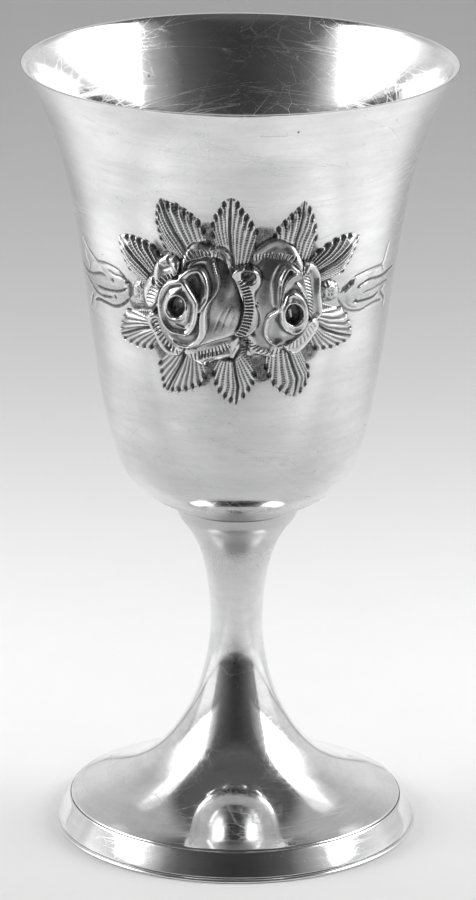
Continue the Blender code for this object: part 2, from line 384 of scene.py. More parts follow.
def flowing(points, closed=False, n=7):
    """Catmull-Rom curve through given points."""
    p = np.array(points, float)
    m = len(p)
    out = []
    for i in range(m if closed else m - 1):
        if closed:
            a, b, c, d = p[i - 1], p[i], p[(i + 1) % m], p[(i + 2) % m]
        else:
            a, b, c, d = p[max(i - 1, 0)], p[i], p[i + 1], p[min(i + 2, m - 1)]
        for k in range(n):
            t = k / n
            out.append(0.5 * (2 * b + (c - a) * t + (2 * a - 5 * b + 4 * c - d) * t * t
                              + (3 * b - a - 3 * c + d) * t ** 3))
    if not closed:
        out.append(p[-1])
    return np.array(out)


def smooth(a, b, x):
    t = np.clip((x - a) / (b - a), 0.0, 1.0)
    return t * t * (3 - 2 * t)


def near_line(S, Z, line, closed=False):
    """Distance to a line, length along it to the nearest point, and side."""
    q = np.vstack([line, line[:1]]) if closed else line
    best = np.full(S.shape, 1e9)
    along = np.zeros(S.shape)
    side = np.ones(S.shape)
    run = 0.0
    for (ax, az), (bx, bz) in zip(q[:-1], q[1:]):
        ex, ez = bx - ax, bz - az
        size = math.hypot(ex, ez)
        if size < 1e-9:
            continue
        t = np.clip(((S - ax) * ex + (Z - az) * ez) / size ** 2, 0, 1)
        d = np.hypot(S - (ax + t * ex), Z - (az + t * ez))
        hit = d < best
        best = np.where(hit, d, best)
        along = np.where(hit, run + t * size, along)
        side = np.where(hit, np.sign(ex * (Z - az) - ez * (S - ax)), side)
        run += size
    return best, along, side, run


def within(S, Z, loop):
    inside = np.zeros(S.shape, bool)
    for (x1, z1), (x2, z2) in zip(loop, np.roll(loop, -1, axis=0)):
        if z1 != z2:
            inside ^= ((Z >= z1) != (Z >= z2)) & (S < (x2 - x1) * (Z - z1) / (z2 - z1) + x1)
    return inside


class Relief:
    """Height over the wall and darkness of the recesses, on a grid."""

    def __init__(self, s, z):
        self.s, self.z = s, z
        self.h = np.zeros((len(z), len(s)))
        self.dark = np.zeros_like(self.h)     # oxide left in hollows
        self.worn = np.zeros_like(self.h)     # rubbed bright on high edges, and painted highlights
        self.ink = np.zeros_like(self.h)      # oxide held in cut lines

    def window(self, points, margin):
        lo, hi = points.min(axis=0) - margin, points.max(axis=0) + margin
        j0, j1 = np.searchsorted(self.s, (lo[0], hi[0]))
        i0, i1 = np.searchsorted(self.z, (lo[1], hi[1]))
        where = (slice(i0, i1), slice(j0, j1))
        S, Z = np.meshgrid(self.s[j0:j1], self.z[i0:i1])
        return where, S, Z

    def lay(self, loop, level, gap=0.28, edge=0.15, shade=0.9, tone=0.0):
        """Put a new surface over what is there, inside a closed loop."""
        where, S, Z = self.window(loop, 1.0)
        d = near_line(S, Z, loop, closed=True)[0]
        d = np.where(within(S, Z, loop), d, -d)
        w = smooth(-edge, edge, d)
        top = level(S, Z, d)
        drop = np.clip((top - self.h[where]) / 0.5, 0, 1)
        self.h[where] = self.h[where] * (1 - w) + top * w
        under = smooth(-gap, -0.05, d) * (1 - w) * drop * shade
        self.dark[where] = np.maximum(self.dark[where] * (1 - w) + tone * w, under)
        self.ink[where] = np.maximum(self.ink[where] * (1 - w), 0.9 * under)
        self.worn[where] *= 1 - w

    def ridge(self, line, height, half, taper=0.0, worn=0.8):
        where, S, Z = self.window(line, half * 2)
        d, a, _, run = near_line(S, Z, line)
        fade = smooth(0, taper, a) * smooth(0, taper, run - a) if taper else 1.0
        bell = np.exp(-(d / (0.6 * half)) ** 2) * fade
        self.h[where] += height * bell
        self.worn[where] = np.maximum(self.worn[where], worn * bell)

    def groove(self, line, depth, half, shade=1.0, taper=0.3):
        where, S, Z = self.window(line, half * 2.5 + 0.2)
        d, a, _, run = near_line(S, Z, line)
        thin = np.clip(np.minimum(a, run - a) / max(taper, 1e-6), 0.25, 1.0)
        cut = 1 - smooth(0.45 * half * thin, 1.15 * half * thin, d)
        self.h[where] -= depth * cut * thin
        self.ink[where] = np.maximum(self.ink[where], cut * shade)
        self.worn[where] *= 1 - cut

    def strokes(self, line, side, start, length, pitch, depth=0.22, lean=0.0,
                share=0.50, shade=1.0, ends=(0.0, 0.0)):
        """Row of short cut strokes that stand off a line on one side."""
        where, S, Z = self.window(line, start + length + 0.4)
        d, a, which, run = near_line(S, Z, line)
        n = max(1, round(run / pitch))
        phase = (a + lean * d) / (run / n)
        wave = 0.5 + 0.5 * np.cos(2 * math.pi * phase)
        zone = smooth(start - 0.1, start + 0.14, d) * (1 - smooth(start + length - 0.22, start + length, d))
        zone *= (which == side) * (a > ends[0]) * (a < run - ends[1]) * (a > 0) * (a < run)
        cut = smooth(1 - share - 0.12, 1 - share + 0.28, wave) * zone
        self.h[where] -= depth * cut
        self.dark[where] *= 1 - 0.7 * zone
        self.ink[where] = np.maximum(self.ink[where], cut * shade)
        self.worn[where] = np.maximum(self.worn[where], 0.8 * zone) * (1 - cut)

    def pit(self, centre, rs, rz, depth, shade=1.0, soft=0.35):
        c = np.array([centre])
        where, S, Z = self.window(c, max(rs, rz) * 1.5)
        q = np.hypot((S - c[0, 0]) / rs, (Z - c[0, 1]) / rz)
        cut = 1 - smooth(1 - soft, 1 + soft * 0.5, q)
        self.h[where] -= depth * cut
        self.ink[where] = np.maximum(self.ink[where], cut * shade)
        self.worn[where] *= 1 - cut

    def oxide_and_shade(self, centre, rs, rz, amount=0.8, turn=0.0):
        """Soft oval patch of dark colour: oxide, and in some places painted shade."""
        c = np.array([centre])
        where, S, Z = self.window(c, max(rs, rz) * 1.8)
        x, y = S - c[0, 0], Z - c[0, 1]
        cs, sn = math.cos(turn), math.sin(turn)
        q = np.hypot((x * cs + y * sn) / rs, (-x * sn + y * cs) / rz)
        self.dark[where] = np.maximum(self.dark[where], amount * (1 - smooth(0.1, 1.5, q)))

    def wear_and_highlight(self, centre, rs, rz, amount=0.9, turn=0.0):
        """Rub an oval spot bright: clean, worn silver that also serves as a painted highlight."""
        c = np.array([centre])
        where, S, Z = self.window(c, max(rs, rz) * 1.6)
        x, y = S - c[0, 0], Z - c[0, 1]
        cs, sn = math.cos(turn), math.sin(turn)
        q = np.hypot((x * cs + y * sn) / rs, (-x * sn + y * cs) / rz)
        self.worn[where] = np.maximum(self.worn[where], amount * (1 - smooth(0.35, 1.3, q)))


def add_leaf(relief, midrib, flanks, fan_out=0.8, tone=0.1, rise=0.95, proud=0.6):
    """One chased leaf, from its midrib (base to tip) and the teeth of each
    flank (tip to base): raised ribs run to the gaps between the teeth, with
    a dotted row and a punched comma at every tooth."""
    mid = to_wall(midrib, proud)
    base, tip = mid[0], mid[-1]
    axis = tip - base
    length = float(np.hypot(*axis))
    axis = axis / length
    cross = np.array([-axis[1], axis[0]])

    def local(points):
        return (points - base) @ axis / length, (points - base) @ cross

    mt, mv = local(mid)

    def middle(t):
        return np.interp(t, mt, mv)

    def spread(t):
        return 1 - fan_out * (1 - np.clip(t, 0.04, 1.1))

    sides = []
    for teeth in flanks:
        tt, tv = local(to_wall(teeth, proud))
        off = tv - middle(tt)
        sign = 1.0 if off.sum() > 0 else -1.0
        off = np.maximum(off * sign, 0.12)
        ks = np.maximum.accumulate(off / spread(tt) + np.arange(len(off)) * 1e-3)
        sides.append((sign, tt, off, ks))

    def place(t, v):
        return base + axis * length * t + cross * (v + middle(t))

    outline = []
    for sign, tt, off, ks in sides:
        edge = []
        for i in range(len(tt)):
            edge.append(place(tt[i], sign * (off[i] + 0.02)))
            if i + 1 < len(tt):
                t1, o1 = (tt[i] + tt[i + 1]) / 2, (off[i] + off[i + 1]) / 2
                edge.append(place(t1, sign * (o1 + 0.10)))
        edge.append(place(0.5 * tt[-1], sign * off[-1] * 0.90))
        edge.append(place(0.0, sign * off[-1] * 0.60))
        outline.append(edge)
    loop = np.array(outline[0][::-1] + [tip] + outline[1])
    loop = flowing(loop, closed=True, n=5)

    def leaf_frame(S, Z):
        t = ((S - base[0]) * axis[0] + (Z - base[1]) * axis[1]) / length
        v = (S - base[0]) * cross[0] + (Z - base[1]) * cross[1] - middle(t)
        k = np.abs(v) / spread(t)
        phase = np.zeros_like(k)
        for sign, tt, off, ks in sides:
            n = len(ks)
            step = (ks[-1] - ks[0]) / max(n - 1, 1)
            at = np.concatenate([[0.0], ks, [ks[-1] + step]])
            ph = np.interp(k, at, np.arange(n + 2))
            phase = np.where(v * sign > 0, ph, phase)
        fan = -np.cos(2 * math.pi * phase)                 # 1 on a rib
        beads = np.cos(2 * math.pi * (t * length / 0.54 + 0.5 * np.round(phase)))
        return t, v, fan, beads

    def level(S, Z, d):
        t, v, fan, beads = leaf_frame(S, Z)
        body = rise * (0.35 + 0.65 * smooth(0.0, 1.9, d)) * (1 - 0.35 * smooth(0.5, 1.05, t))
        clear = smooth(0.25, 0.6, np.abs(v))
        body += (0.16 * np.clip(fan, 0, 1) - 0.15 * np.clip(-fan, 0, 1) * (0.35 + 0.65 * smooth(-0.3, 0.3, beads))) * clear
        body -= 0.50 * np.exp(-(v / (0.20 + 0.22 * (1 - t))) ** 2)
        return body

    relief.lay(loop, level, gap=0.27, shade=1.0, tone=tone)
    where, S, Z = relief.window(loop, 0.4)
    t, v, fan, beads = leaf_frame(S, Z)
    inside = within(S, Z, loop)
    clear = smooth(0.2, 0.5, np.abs(v))
    ink = smooth(-0.50, 0.20, -fan) * (0.42 + 0.58 * smooth(-0.55, 0.25, beads)) * clear
    ink = np.maximum(ink, 0.55 * smooth(0.50, 0.05, t))
    mid_ink = 1 - smooth(0.55, 1.05, np.abs(v) / (0.20 + 0.26 * (1 - t)))
    ink = np.maximum(ink, mid_ink)
    relief.dark[where] = np.where(inside, np.maximum(relief.dark[where], ink), relief.dark[where])
    relief.worn[where] = np.where(inside, (0.95 - tone) * smooth(0.1, 0.75, fan) * clear, relief.worn[where])
    # a punched comma at every tooth
    for sign, tt, off, ks in sides:
        for i in range(len(tt)):
            reach = min(1.75, 0.45 * length) / length
            end = tt[i] + 0.36 / length
            line = np.array([place(x, sign * (off[i] + 0.18) * spread(x) / spread(tt[i]))
                             for x in np.linspace(end - reach, end, 9)])
            relief.groove(line, 0.36, 0.44, shade=1.0, taper=0.5)


def rose_dome(centre, rs, rz, peak):
    def dome(S, Z):
        q2 = ((S - centre[0]) / rs) ** 2 + ((Z - centre[1]) / rz) ** 2
        return peak * np.clip(1 - q2, -0.25, 1)
    return dome


def add_petal(relief, dome, loop, rim, proud, lift, roll=0.45, width=0.7, cup=0.6,
              reach=2.4, shade=0.95, tone=0.43, gap=0.34, bright=0.88):
    """A petal laid over the ones behind it: rolled rim, cupped inside."""
    outline = flowing(to_wall(loop, proud), closed=True)
    edge = flowing(to_wall(rim, proud))

    def level(S, Z, d):
        far = near_line(S, Z, edge)[0]
        t = np.clip(far / width, 0, 1)
        turn = roll * np.sqrt(np.clip(1 - (1 - t) ** 2, 0, 1))
        sink = cup * smooth(0.0, reach, far - width)
        return dome(S, Z) + lift + turn - sink

    relief.lay(outline, level, gap=gap, shade=shade, tone=tone)
    where, S, Z = relief.window(outline, 0.2)
    far = near_line(S, Z, edge)[0]
    inside = within(S, Z, outline)
    # the rim's crest is cleaned bright: wear on the rolled edge, and a painted highlight along it
    crest = bright * np.exp(-((far - 0.55 * width) / (0.45 * width)) ** 2)
    relief.worn[where] = np.where(inside, np.maximum(relief.worn[where], crest), relief.worn[where])


def add_band(relief, dome, outer, inner, proud, lift, crown=0.3, shade=0.9):
    """A folded rim seen from above: a narrow strip, nearly flat on top."""
    a, b = flowing(to_wall(outer, proud)), flowing(to_wall(inner, proud))
    loop = np.vstack([a, b[::-1]])

    def level(S, Z, d):
        return dome(S, Z) + lift + crown * np.sqrt(np.clip(1 - (1 - np.clip(d / 0.62, 0, 1)) ** 2, 0, 1))

    relief.lay(loop, level, gap=0.3, shade=shade, tone=0.0)
    where, S, Z = relief.window(loop, 0.2)
    inside = within(S, Z, loop)
    relief.worn[where] = np.where(inside, 0.9, relief.worn[where])


def add_eye(relief, dome, centre, rx, ry, proud, rise, depth):
    """The rolled tube at a rose's middle: thin ring round a deep hole."""
    ring = [(centre[0] + rx * math.sin(2 * math.pi * k / 28), centre[1] - ry * math.cos(2 * math.pi * k / 28))
            for k in range(28)]
    outline = flowing(to_wall(ring, proud), closed=True, n=3)
    where, S, Z = relief.window(outline, 2.6)
    d = near_line(S, Z, outline, closed=True)[0]
    d = np.where(within(S, Z, outline), d, -d)
    # flank outside the ring, ring, then the hole
    relief.h[where] += rise * np.where(d < 0, np.exp(-(d / 0.75) ** 2), 1.0)
    hole = smooth(0.02, 0.80, d)
    relief.h[where] -= (depth + rise) * hole
    relief.dark[where] = np.maximum(relief.dark[where], smooth(0.12, 0.42, d) * (1 - 0.45 * smooth(0.9, 1.7, d)))
    relief.worn[where] = np.maximum(relief.worn[where] * (d < 0.3), np.exp(-(d / 0.25) ** 2))


LEFT_EYE, RIGHT_EYE = (176.0, 303.6), (294.3, 311.5)


def left_rose(relief):
    dome = rose_dome((-10.4, 121.0), 10.6, 12.4, 3.7)
    petal = lambda *a, **k: add_petal(relief, dome, *a, **k)
    spot = lambda x, y, proud=3.0: to_wall([(x, y)], proud)[0]
    # back row: dark petal between the roses, top petal, upper left lobes
    petal([(213, 250), (221, 247.5), (227, 250.5), (232.5, 260), (233.5, 268), (231, 276), (222, 287), (212, 282), (208, 262)],
          [(213, 250), (221, 247.5), (227, 250.5), (232.5, 260), (233.5, 268), (231, 276)],
          2.0, 0.9, roll=0.5, cup=0.3, reach=1.8, tone=0.86, bright=0.1)
    relief.ridge(flowing(to_wall([(225, 253), (228, 257), (230, 262)], 2.4)), 0.25, 0.45, taper=0.5, worn=1.0)
    relief.groove(flowing(to_wall([(219, 255), (223, 262), (224, 270)], 2.4)), 0.25, 0.35, taper=0.8)
    petal([(181, 263), (182.5, 255), (186, 248), (190.5, 244), (196, 243.5), (202, 245.5), (208, 247.5),
           (213, 250.5), (217, 256), (219, 264), (214, 277), (195, 283), (184, 277)],
          [(181, 263), (182.5, 255), (186, 248), (190.5, 244), (196, 243.5), (202, 245.5), (208, 247.5), (213, 250.5), (217, 256), (219, 264)],
          2.2, 0.95, roll=0.6, width=1.0, cup=0.45, reach=2.0, tone=0.72, bright=0.1)
    relief.pit(spot(201, 249), 1.5, 1.1, 0.35, shade=0.95)
    # painted highlights at the ends of the top petal's roll, as spots rubbed clean
    relief.wear_and_highlight(spot(188.5, 248), 0.65, 1.3, 1.0, turn=-0.6)
    relief.wear_and_highlight(spot(210, 251), 0.5, 0.9, 1.0, turn=-0.5)
    relief.strokes(flowing(to_wall([(184, 263), (190, 260), (199, 259.3), (208, 259.8), (215, 262.5)], 2.5)),
                   1, 0.1, 1.5, 0.60, lean=0.3)
    petal([(156, 272), (150, 275), (147, 279), (145.4, 285), (146.3, 291), (149, 297.5), (153.5, 302.5), (157.5, 302),
           (166, 292), (172, 282), (168, 272), (161, 270)],
          [(163, 270), (156, 271.5), (150, 275), (147, 279), (145.4, 285), (146.3, 291), (149, 297.5), (153.5, 302.5), (157.5, 301.5)],
          1.7, 0.85, roll=0.75, width=1.0, cup=0.3, reach=1.6, tone=0.15, bright=0.9)
    petal([(180, 268), (177.5, 261), (172, 256.5), (165, 255), (158, 258), (153.8, 264), (153.5, 271), (157, 281),
           (166, 287), (180, 284)],
          [(181, 271), (177.5, 261), (172, 256.5), (165, 255), (158, 258), (153.8, 264), (153.5, 271), (156, 279)],
          1.9, 0.9, roll=0.42, width=0.9, cup=0.35, reach=1.6, tone=0.35, bright=0.4)
    relief.ridge(flowing(to_wall([(156, 264), (160, 260), (166, 258)], 2.6)), 0.20, 0.6, taper=0.6, worn=0.8)
    relief.ridge(flowing(to_wall([(172, 262), (177, 268), (179, 273)], 2.6)), 0.22, 0.5, taper=0.6, worn=0.8)
    relief.oxide_and_shade(spot(170, 268, 2.4), 1.0, 0.9, 0.8)
    relief.oxide_and_shade(spot(158, 268, 2.4), 0.8, 0.7, 0.6)
    relief.groove(flowing(to_wall([(155, 262), (162, 267), (171, 265)], 2.6)), 0.22, 0.45, shade=0.7, taper=0.8)
    relief.groove(flowing(to_wall([(166, 258), (169, 264), (173, 270)], 2.6)), 0.2, 0.35, shade=0.6, taper=0.8)
    relief.pit(spot(167, 258), 0.5, 0.35, 0.2, shade=0.8)
    relief.groove(flowing(to_wall([(177, 273), (180, 268), (181, 262)], 2.6)), 0.3, 0.4, taper=0.5)
    relief.strokes(flowing(to_wall([(157.5, 301), (158.5, 292), (161.5, 286), (166.5, 281.5), (172, 279.3), (177, 278)], 2.4)),
                   1, 0.05, 1.7, 0.66, lean=0.2, depth=0.26)
    petal([(157, 306), (154.4, 306.7), (150.6, 310.6), (149.4, 316), (152.2, 323), (156.7, 329.5), (159, 337), (162.2, 345),
           (167.8, 351), (174.4, 354), (181, 352.3), (184.5, 348.5), (190, 335), (178, 325), (165, 312)],
          [(157.5, 306), (154.4, 306.7), (150.6, 310.6), (149.4, 316), (152.2, 323), (156.7, 329.5), (159, 337), (162.2, 345),
           (167.8, 351), (174.4, 354), (181, 352.3), (184.5, 348.5)],
          1.9, 0.8, roll=0.7, width=0.9, cup=0.85, reach=1.3, tone=0.55, bright=1.0)
    relief.strokes(flowing(to_wall([(159, 307), (161, 318), (164.5, 328), (169.5, 337), (176, 343.5), (183, 347)], 2.2)),
                   -1, -0.05, 1.25, 0.76, lean=-0.35, depth=0.26)
    # bottom petal
    petal([(186, 348), (188.9, 353), (193.3, 358.5), (200, 364), (205.5, 366.5), (208.5, 361.5), (220, 360.8), (231, 362),
           (235, 360.5), (239.5, 353), (240.5, 345), (236, 334), (216, 332), (196, 338)],
          [(186, 348), (188.9, 353), (193.3, 358.5), (200, 364), (205.5, 366.5), (208.5, 361.5), (220, 360.8), (231, 362),
           (235, 360.5), (239.5, 353), (240.5, 345)],
          1.9, 0.8, roll=0.75, width=1.3, cup=0.8, reach=1.2, tone=0.35, bright=1.0)
    relief.strokes(flowing(to_wall([(190, 350.5), (200, 349), (210, 347.5), (220, 344.5), (230, 340)], 2.2)),
                   -1, 0.0, 1.75, 0.64, lean=0.25, ends=(0.0, 1.0), depth=0.28)
    # the wide cupped petal
    petal([(208, 264), (216, 262), (226, 268), (233, 271), (240, 270), (248, 272), (252, 285), (250, 300), (250, 316),
           (245, 328), (238, 335), (226, 337.5), (214, 339), (203, 342), (194, 345), (192, 340), (203, 325), (205, 300)],
          [(243, 318), (240, 328), (235, 334.5), (226, 337.5), (214, 339), (203, 342), (194, 345)],
          3.0, 1.15, roll=0.2, width=0.5, cup=0.9, reach=4.5, tone=0.42, bright=0.2, gap=0.6)
    # painted shade on the wide petal: a dark strip along its lower edge and darker patches over its upper part
    relief.oxide_and_shade(spot(220, 342.5, 2.4), 3.4, 0.8, 0.95, turn=0.15)
    relief.oxide_and_shade(spot(225, 280, 3.0), 2.2, 4.4, 1.0, turn=-0.1)
    relief.oxide_and_shade(spot(221, 298, 3.0), 1.3, 2.8, 0.9)
    relief.oxide_and_shade(spot(238, 305, 3.0), 0.9, 4.5, 0.7)
    # painted highlights on the wide petal's lower part, as spots rubbed clean
    relief.wear_and_highlight(spot(227, 317, 3.0), 0.9, 2.8, 0.75, turn=-0.30)
    relief.wear_and_highlight(spot(217, 322, 3.0), 0.9, 2.6, 0.75, turn=-0.35)
    for line in ([(232, 304), (226, 316), (220, 331)], [(225, 306), (219, 318), (213, 332)], [(236, 312), (231, 322), (227, 333)]):
        relief.groove(flowing(to_wall(line, 3.0)), 0.05, 0.22, shade=0.45, taper=1.5)
    # its edge rolled outwards
    band = [(231, 276), (233, 271.5), (238, 268.5), (246, 268), (255, 269.5), (260.5, 274), (262, 281), (260, 287),
            (256, 292), (255.5, 299), (257.5, 307), (260, 314), (260.5, 321), (257.5, 329), (250.5, 336), (244, 338),
            (236, 337.5), (235, 334), (240.5, 325.6), (243.8, 312), (243.2, 300), (240, 289), (235.5, 281)]
    flat = lambda S, Z: 1.85 - 0.05 * (S - 1.5) + 0.045 * (Z - 121.0)
    add_petal(relief, flat, band, band + band[:1], 3.0, 0.0, roll=0.32, width=0.5, cup=0.0, reach=1.0, tone=0.0,
              shade=0.5, gap=0.25, bright=0.6)
    # painted highlights on the rolled edge, as spots rubbed clean
    relief.wear_and_highlight(spot(254, 312, 3.0), 0.75, 4.2, 0.9)
    relief.wear_and_highlight(spot(254, 290, 3.2), 0.9, 1.6, 0.8)
    relief.strokes(flowing(to_wall([(235.5, 281), (240, 289), (243.2, 300), (243.8, 312), (240.5, 325.6), (234.5, 336)], 3.0)),
                   1, 0.15, 1.75, 0.66, lean=0.0, depth=0.26)
    relief.pit(spot(249.3, 278, 3.3), 1.35, 1.45, 0.8, soft=0.35)
    relief.pit(spot(246.0, 274.5, 3.3), 1.0, 1.0, 0.4, soft=0.5)
    relief.oxide_and_shade(spot(247.5, 270.5, 3.3), 1.3, 0.8, 1.0)
    relief.groove(flowing(to_wall([(243, 271), (248, 269), (253, 270)], 3.3)), 0.25, 0.45, taper=0.5)
    # painted highlights at the ends of the rolled edge, as spots rubbed clean
    relief.wear_and_highlight(spot(237, 273.5, 3.4), 1.1, 0.6, 1.0, turn=0.6)
    relief.wear_and_highlight(spot(257.5, 275.5, 3.4), 0.5, 1.0, 1.0, turn=0.3)
    relief.pit(spot(257.6, 305, 2.8), 0.36, 0.45, 0.22, shade=0.6)
    relief.ridge(to_wall([(257.2, 303), (257.8, 304)], 2.8), 0.4, 0.3)
    # inside of the folded rim, then the long S-shaped rim itself
    outer = [(211.5, 265), (214, 271.7), (217, 278.3), (218.5, 284), (218, 290), (215.5, 294.5), (211.5, 299), (208.5, 303),
             (206.8, 309), (206.2, 316), (206.2, 324), (206, 331), (203.5, 337.5), (199, 342.5), (192, 346), (184.4, 346.2),
             (177, 343.5), (171.5, 339)]
    inner = [(210.5, 268), (212.8, 275), (214.6, 281), (215.4, 286), (214.6, 291), (211.2, 295.5), (206.5, 299.8), (202.5, 304),
             (200, 309), (198.8, 316), (198.6, 324), (198.2, 331), (195.5, 337), (191, 341), (185, 342.2), (178.5, 340.5),
             (172.5, 336.5)]
    petal(outer + [(167, 333.5), (161, 322), (157, 309), (157, 296), (160, 285), (169, 277.5), (178, 272), (183, 264),
                   (196, 262), (206, 261.5)],
          outer, 4.2, 0.9, roll=0.2, width=0.5, cup=0.55, reach=1.6, tone=0.45, bright=0.0)
    # painted highlight along the top of the folded rim
    relief.wear_and_highlight(spot(193, 265.5, 3.6), 1.9, 0.6, 0.75, turn=0.25)
    relief.ridge(flowing(to_wall([(183, 271), (190, 265.5), (198, 263.5), (206, 265)], 3.8)), 0.3, 0.7, taper=0.8, worn=0.4)
    add_band(relief, dome, outer, inner, 4.2, 1.0, crown=0.72)
    # cupped inner petal with its dark hollow
    rim = [(176, 277), (180, 273), (184.5, 270.5), (190, 269.3), (196, 269.5), (201, 272.5), (205, 278), (207.6, 284),
           (208.6, 290), (208.0, 296), (206.0, 301), (203.0, 305), (200.5, 309)]
    petal(rim + [(190, 312), (180, 300)], rim, 4.4, 1.35, roll=0.38, width=0.36, cup=1.55, reach=1.9, tone=0.85, bright=0.9)
    # painted highlight on the cupped petal's rim
    relief.wear_and_highlight(spot(185, 274.5, 4.2), 1.3, 0.75, 0.95, turn=0.1)
    relief.ridge(flowing(to_wall([(203, 279), (205.5, 287), (204.5, 296)], 4.0)), 0.25, 0.35, taper=0.9, worn=0.35)
    # the petal wrapped round the tube
    ring = [(157.8, 302), (159.5, 311), (162, 318), (166.5, 324.5), (172, 329), (179, 331), (187, 332.2), (192.5, 328.5),
            (197, 319), (198.3, 309), (197.8, 300), (194, 293), (189.5, 287), (184.8, 281), (179.5, 278), (172.5, 278.3),
            (165.5, 280), (160, 286), (157.8, 293.5)]
    petal(ring, ring + ring[:1], 4.4, 1.55, roll=0.44, width=0.42, cup=0.75, reach=0.9, tone=0.42, bright=0.95)
    relief.ridge(flowing(to_wall([(172, 319.5), (179, 322), (186, 324.5), (190.5, 318.5)], 4.6)), 0.32, 0.42, taper=1.0, worn=0.9)
    # painted highlight on the wrapped petal
    relief.wear_and_highlight(spot(187.5, 326, 4.4), 0.6, 0.7, 1.0)
    relief.ridge(flowing(to_wall([(186.5, 302), (187.5, 310), (185.5, 317), (181, 320.5)], 4.6)), 0.25, 0.28, taper=0.9, worn=0.8)
    relief.ridge(to_wall([(171, 290), (180, 287)], 4.6), 0.35, 0.9, worn=1.0)
    # painted highlight on the tube's upper side
    relief.wear_and_highlight(spot(176.5, 288.5, 4.6), 1.7, 1.1, 1.0, turn=0.5)
    add_eye(relief, dome, LEFT_EYE, 10.0, 11.2, 4.9, 0.6, 1.6)
    relief.ridge(to_wall([(177.5, 308), (179.5, 311)], 3.2), 0.55, 1.0, worn=0.55)
    # painted glints in the eye, as spots rubbed clean
    relief.wear_and_highlight(spot(178.5, 310.5, 3.2), 0.5, 0.35, 0.9)
    relief.wear_and_highlight(spot(180.5, 299.5, 3.4), 0.4, 0.3, 0.8)


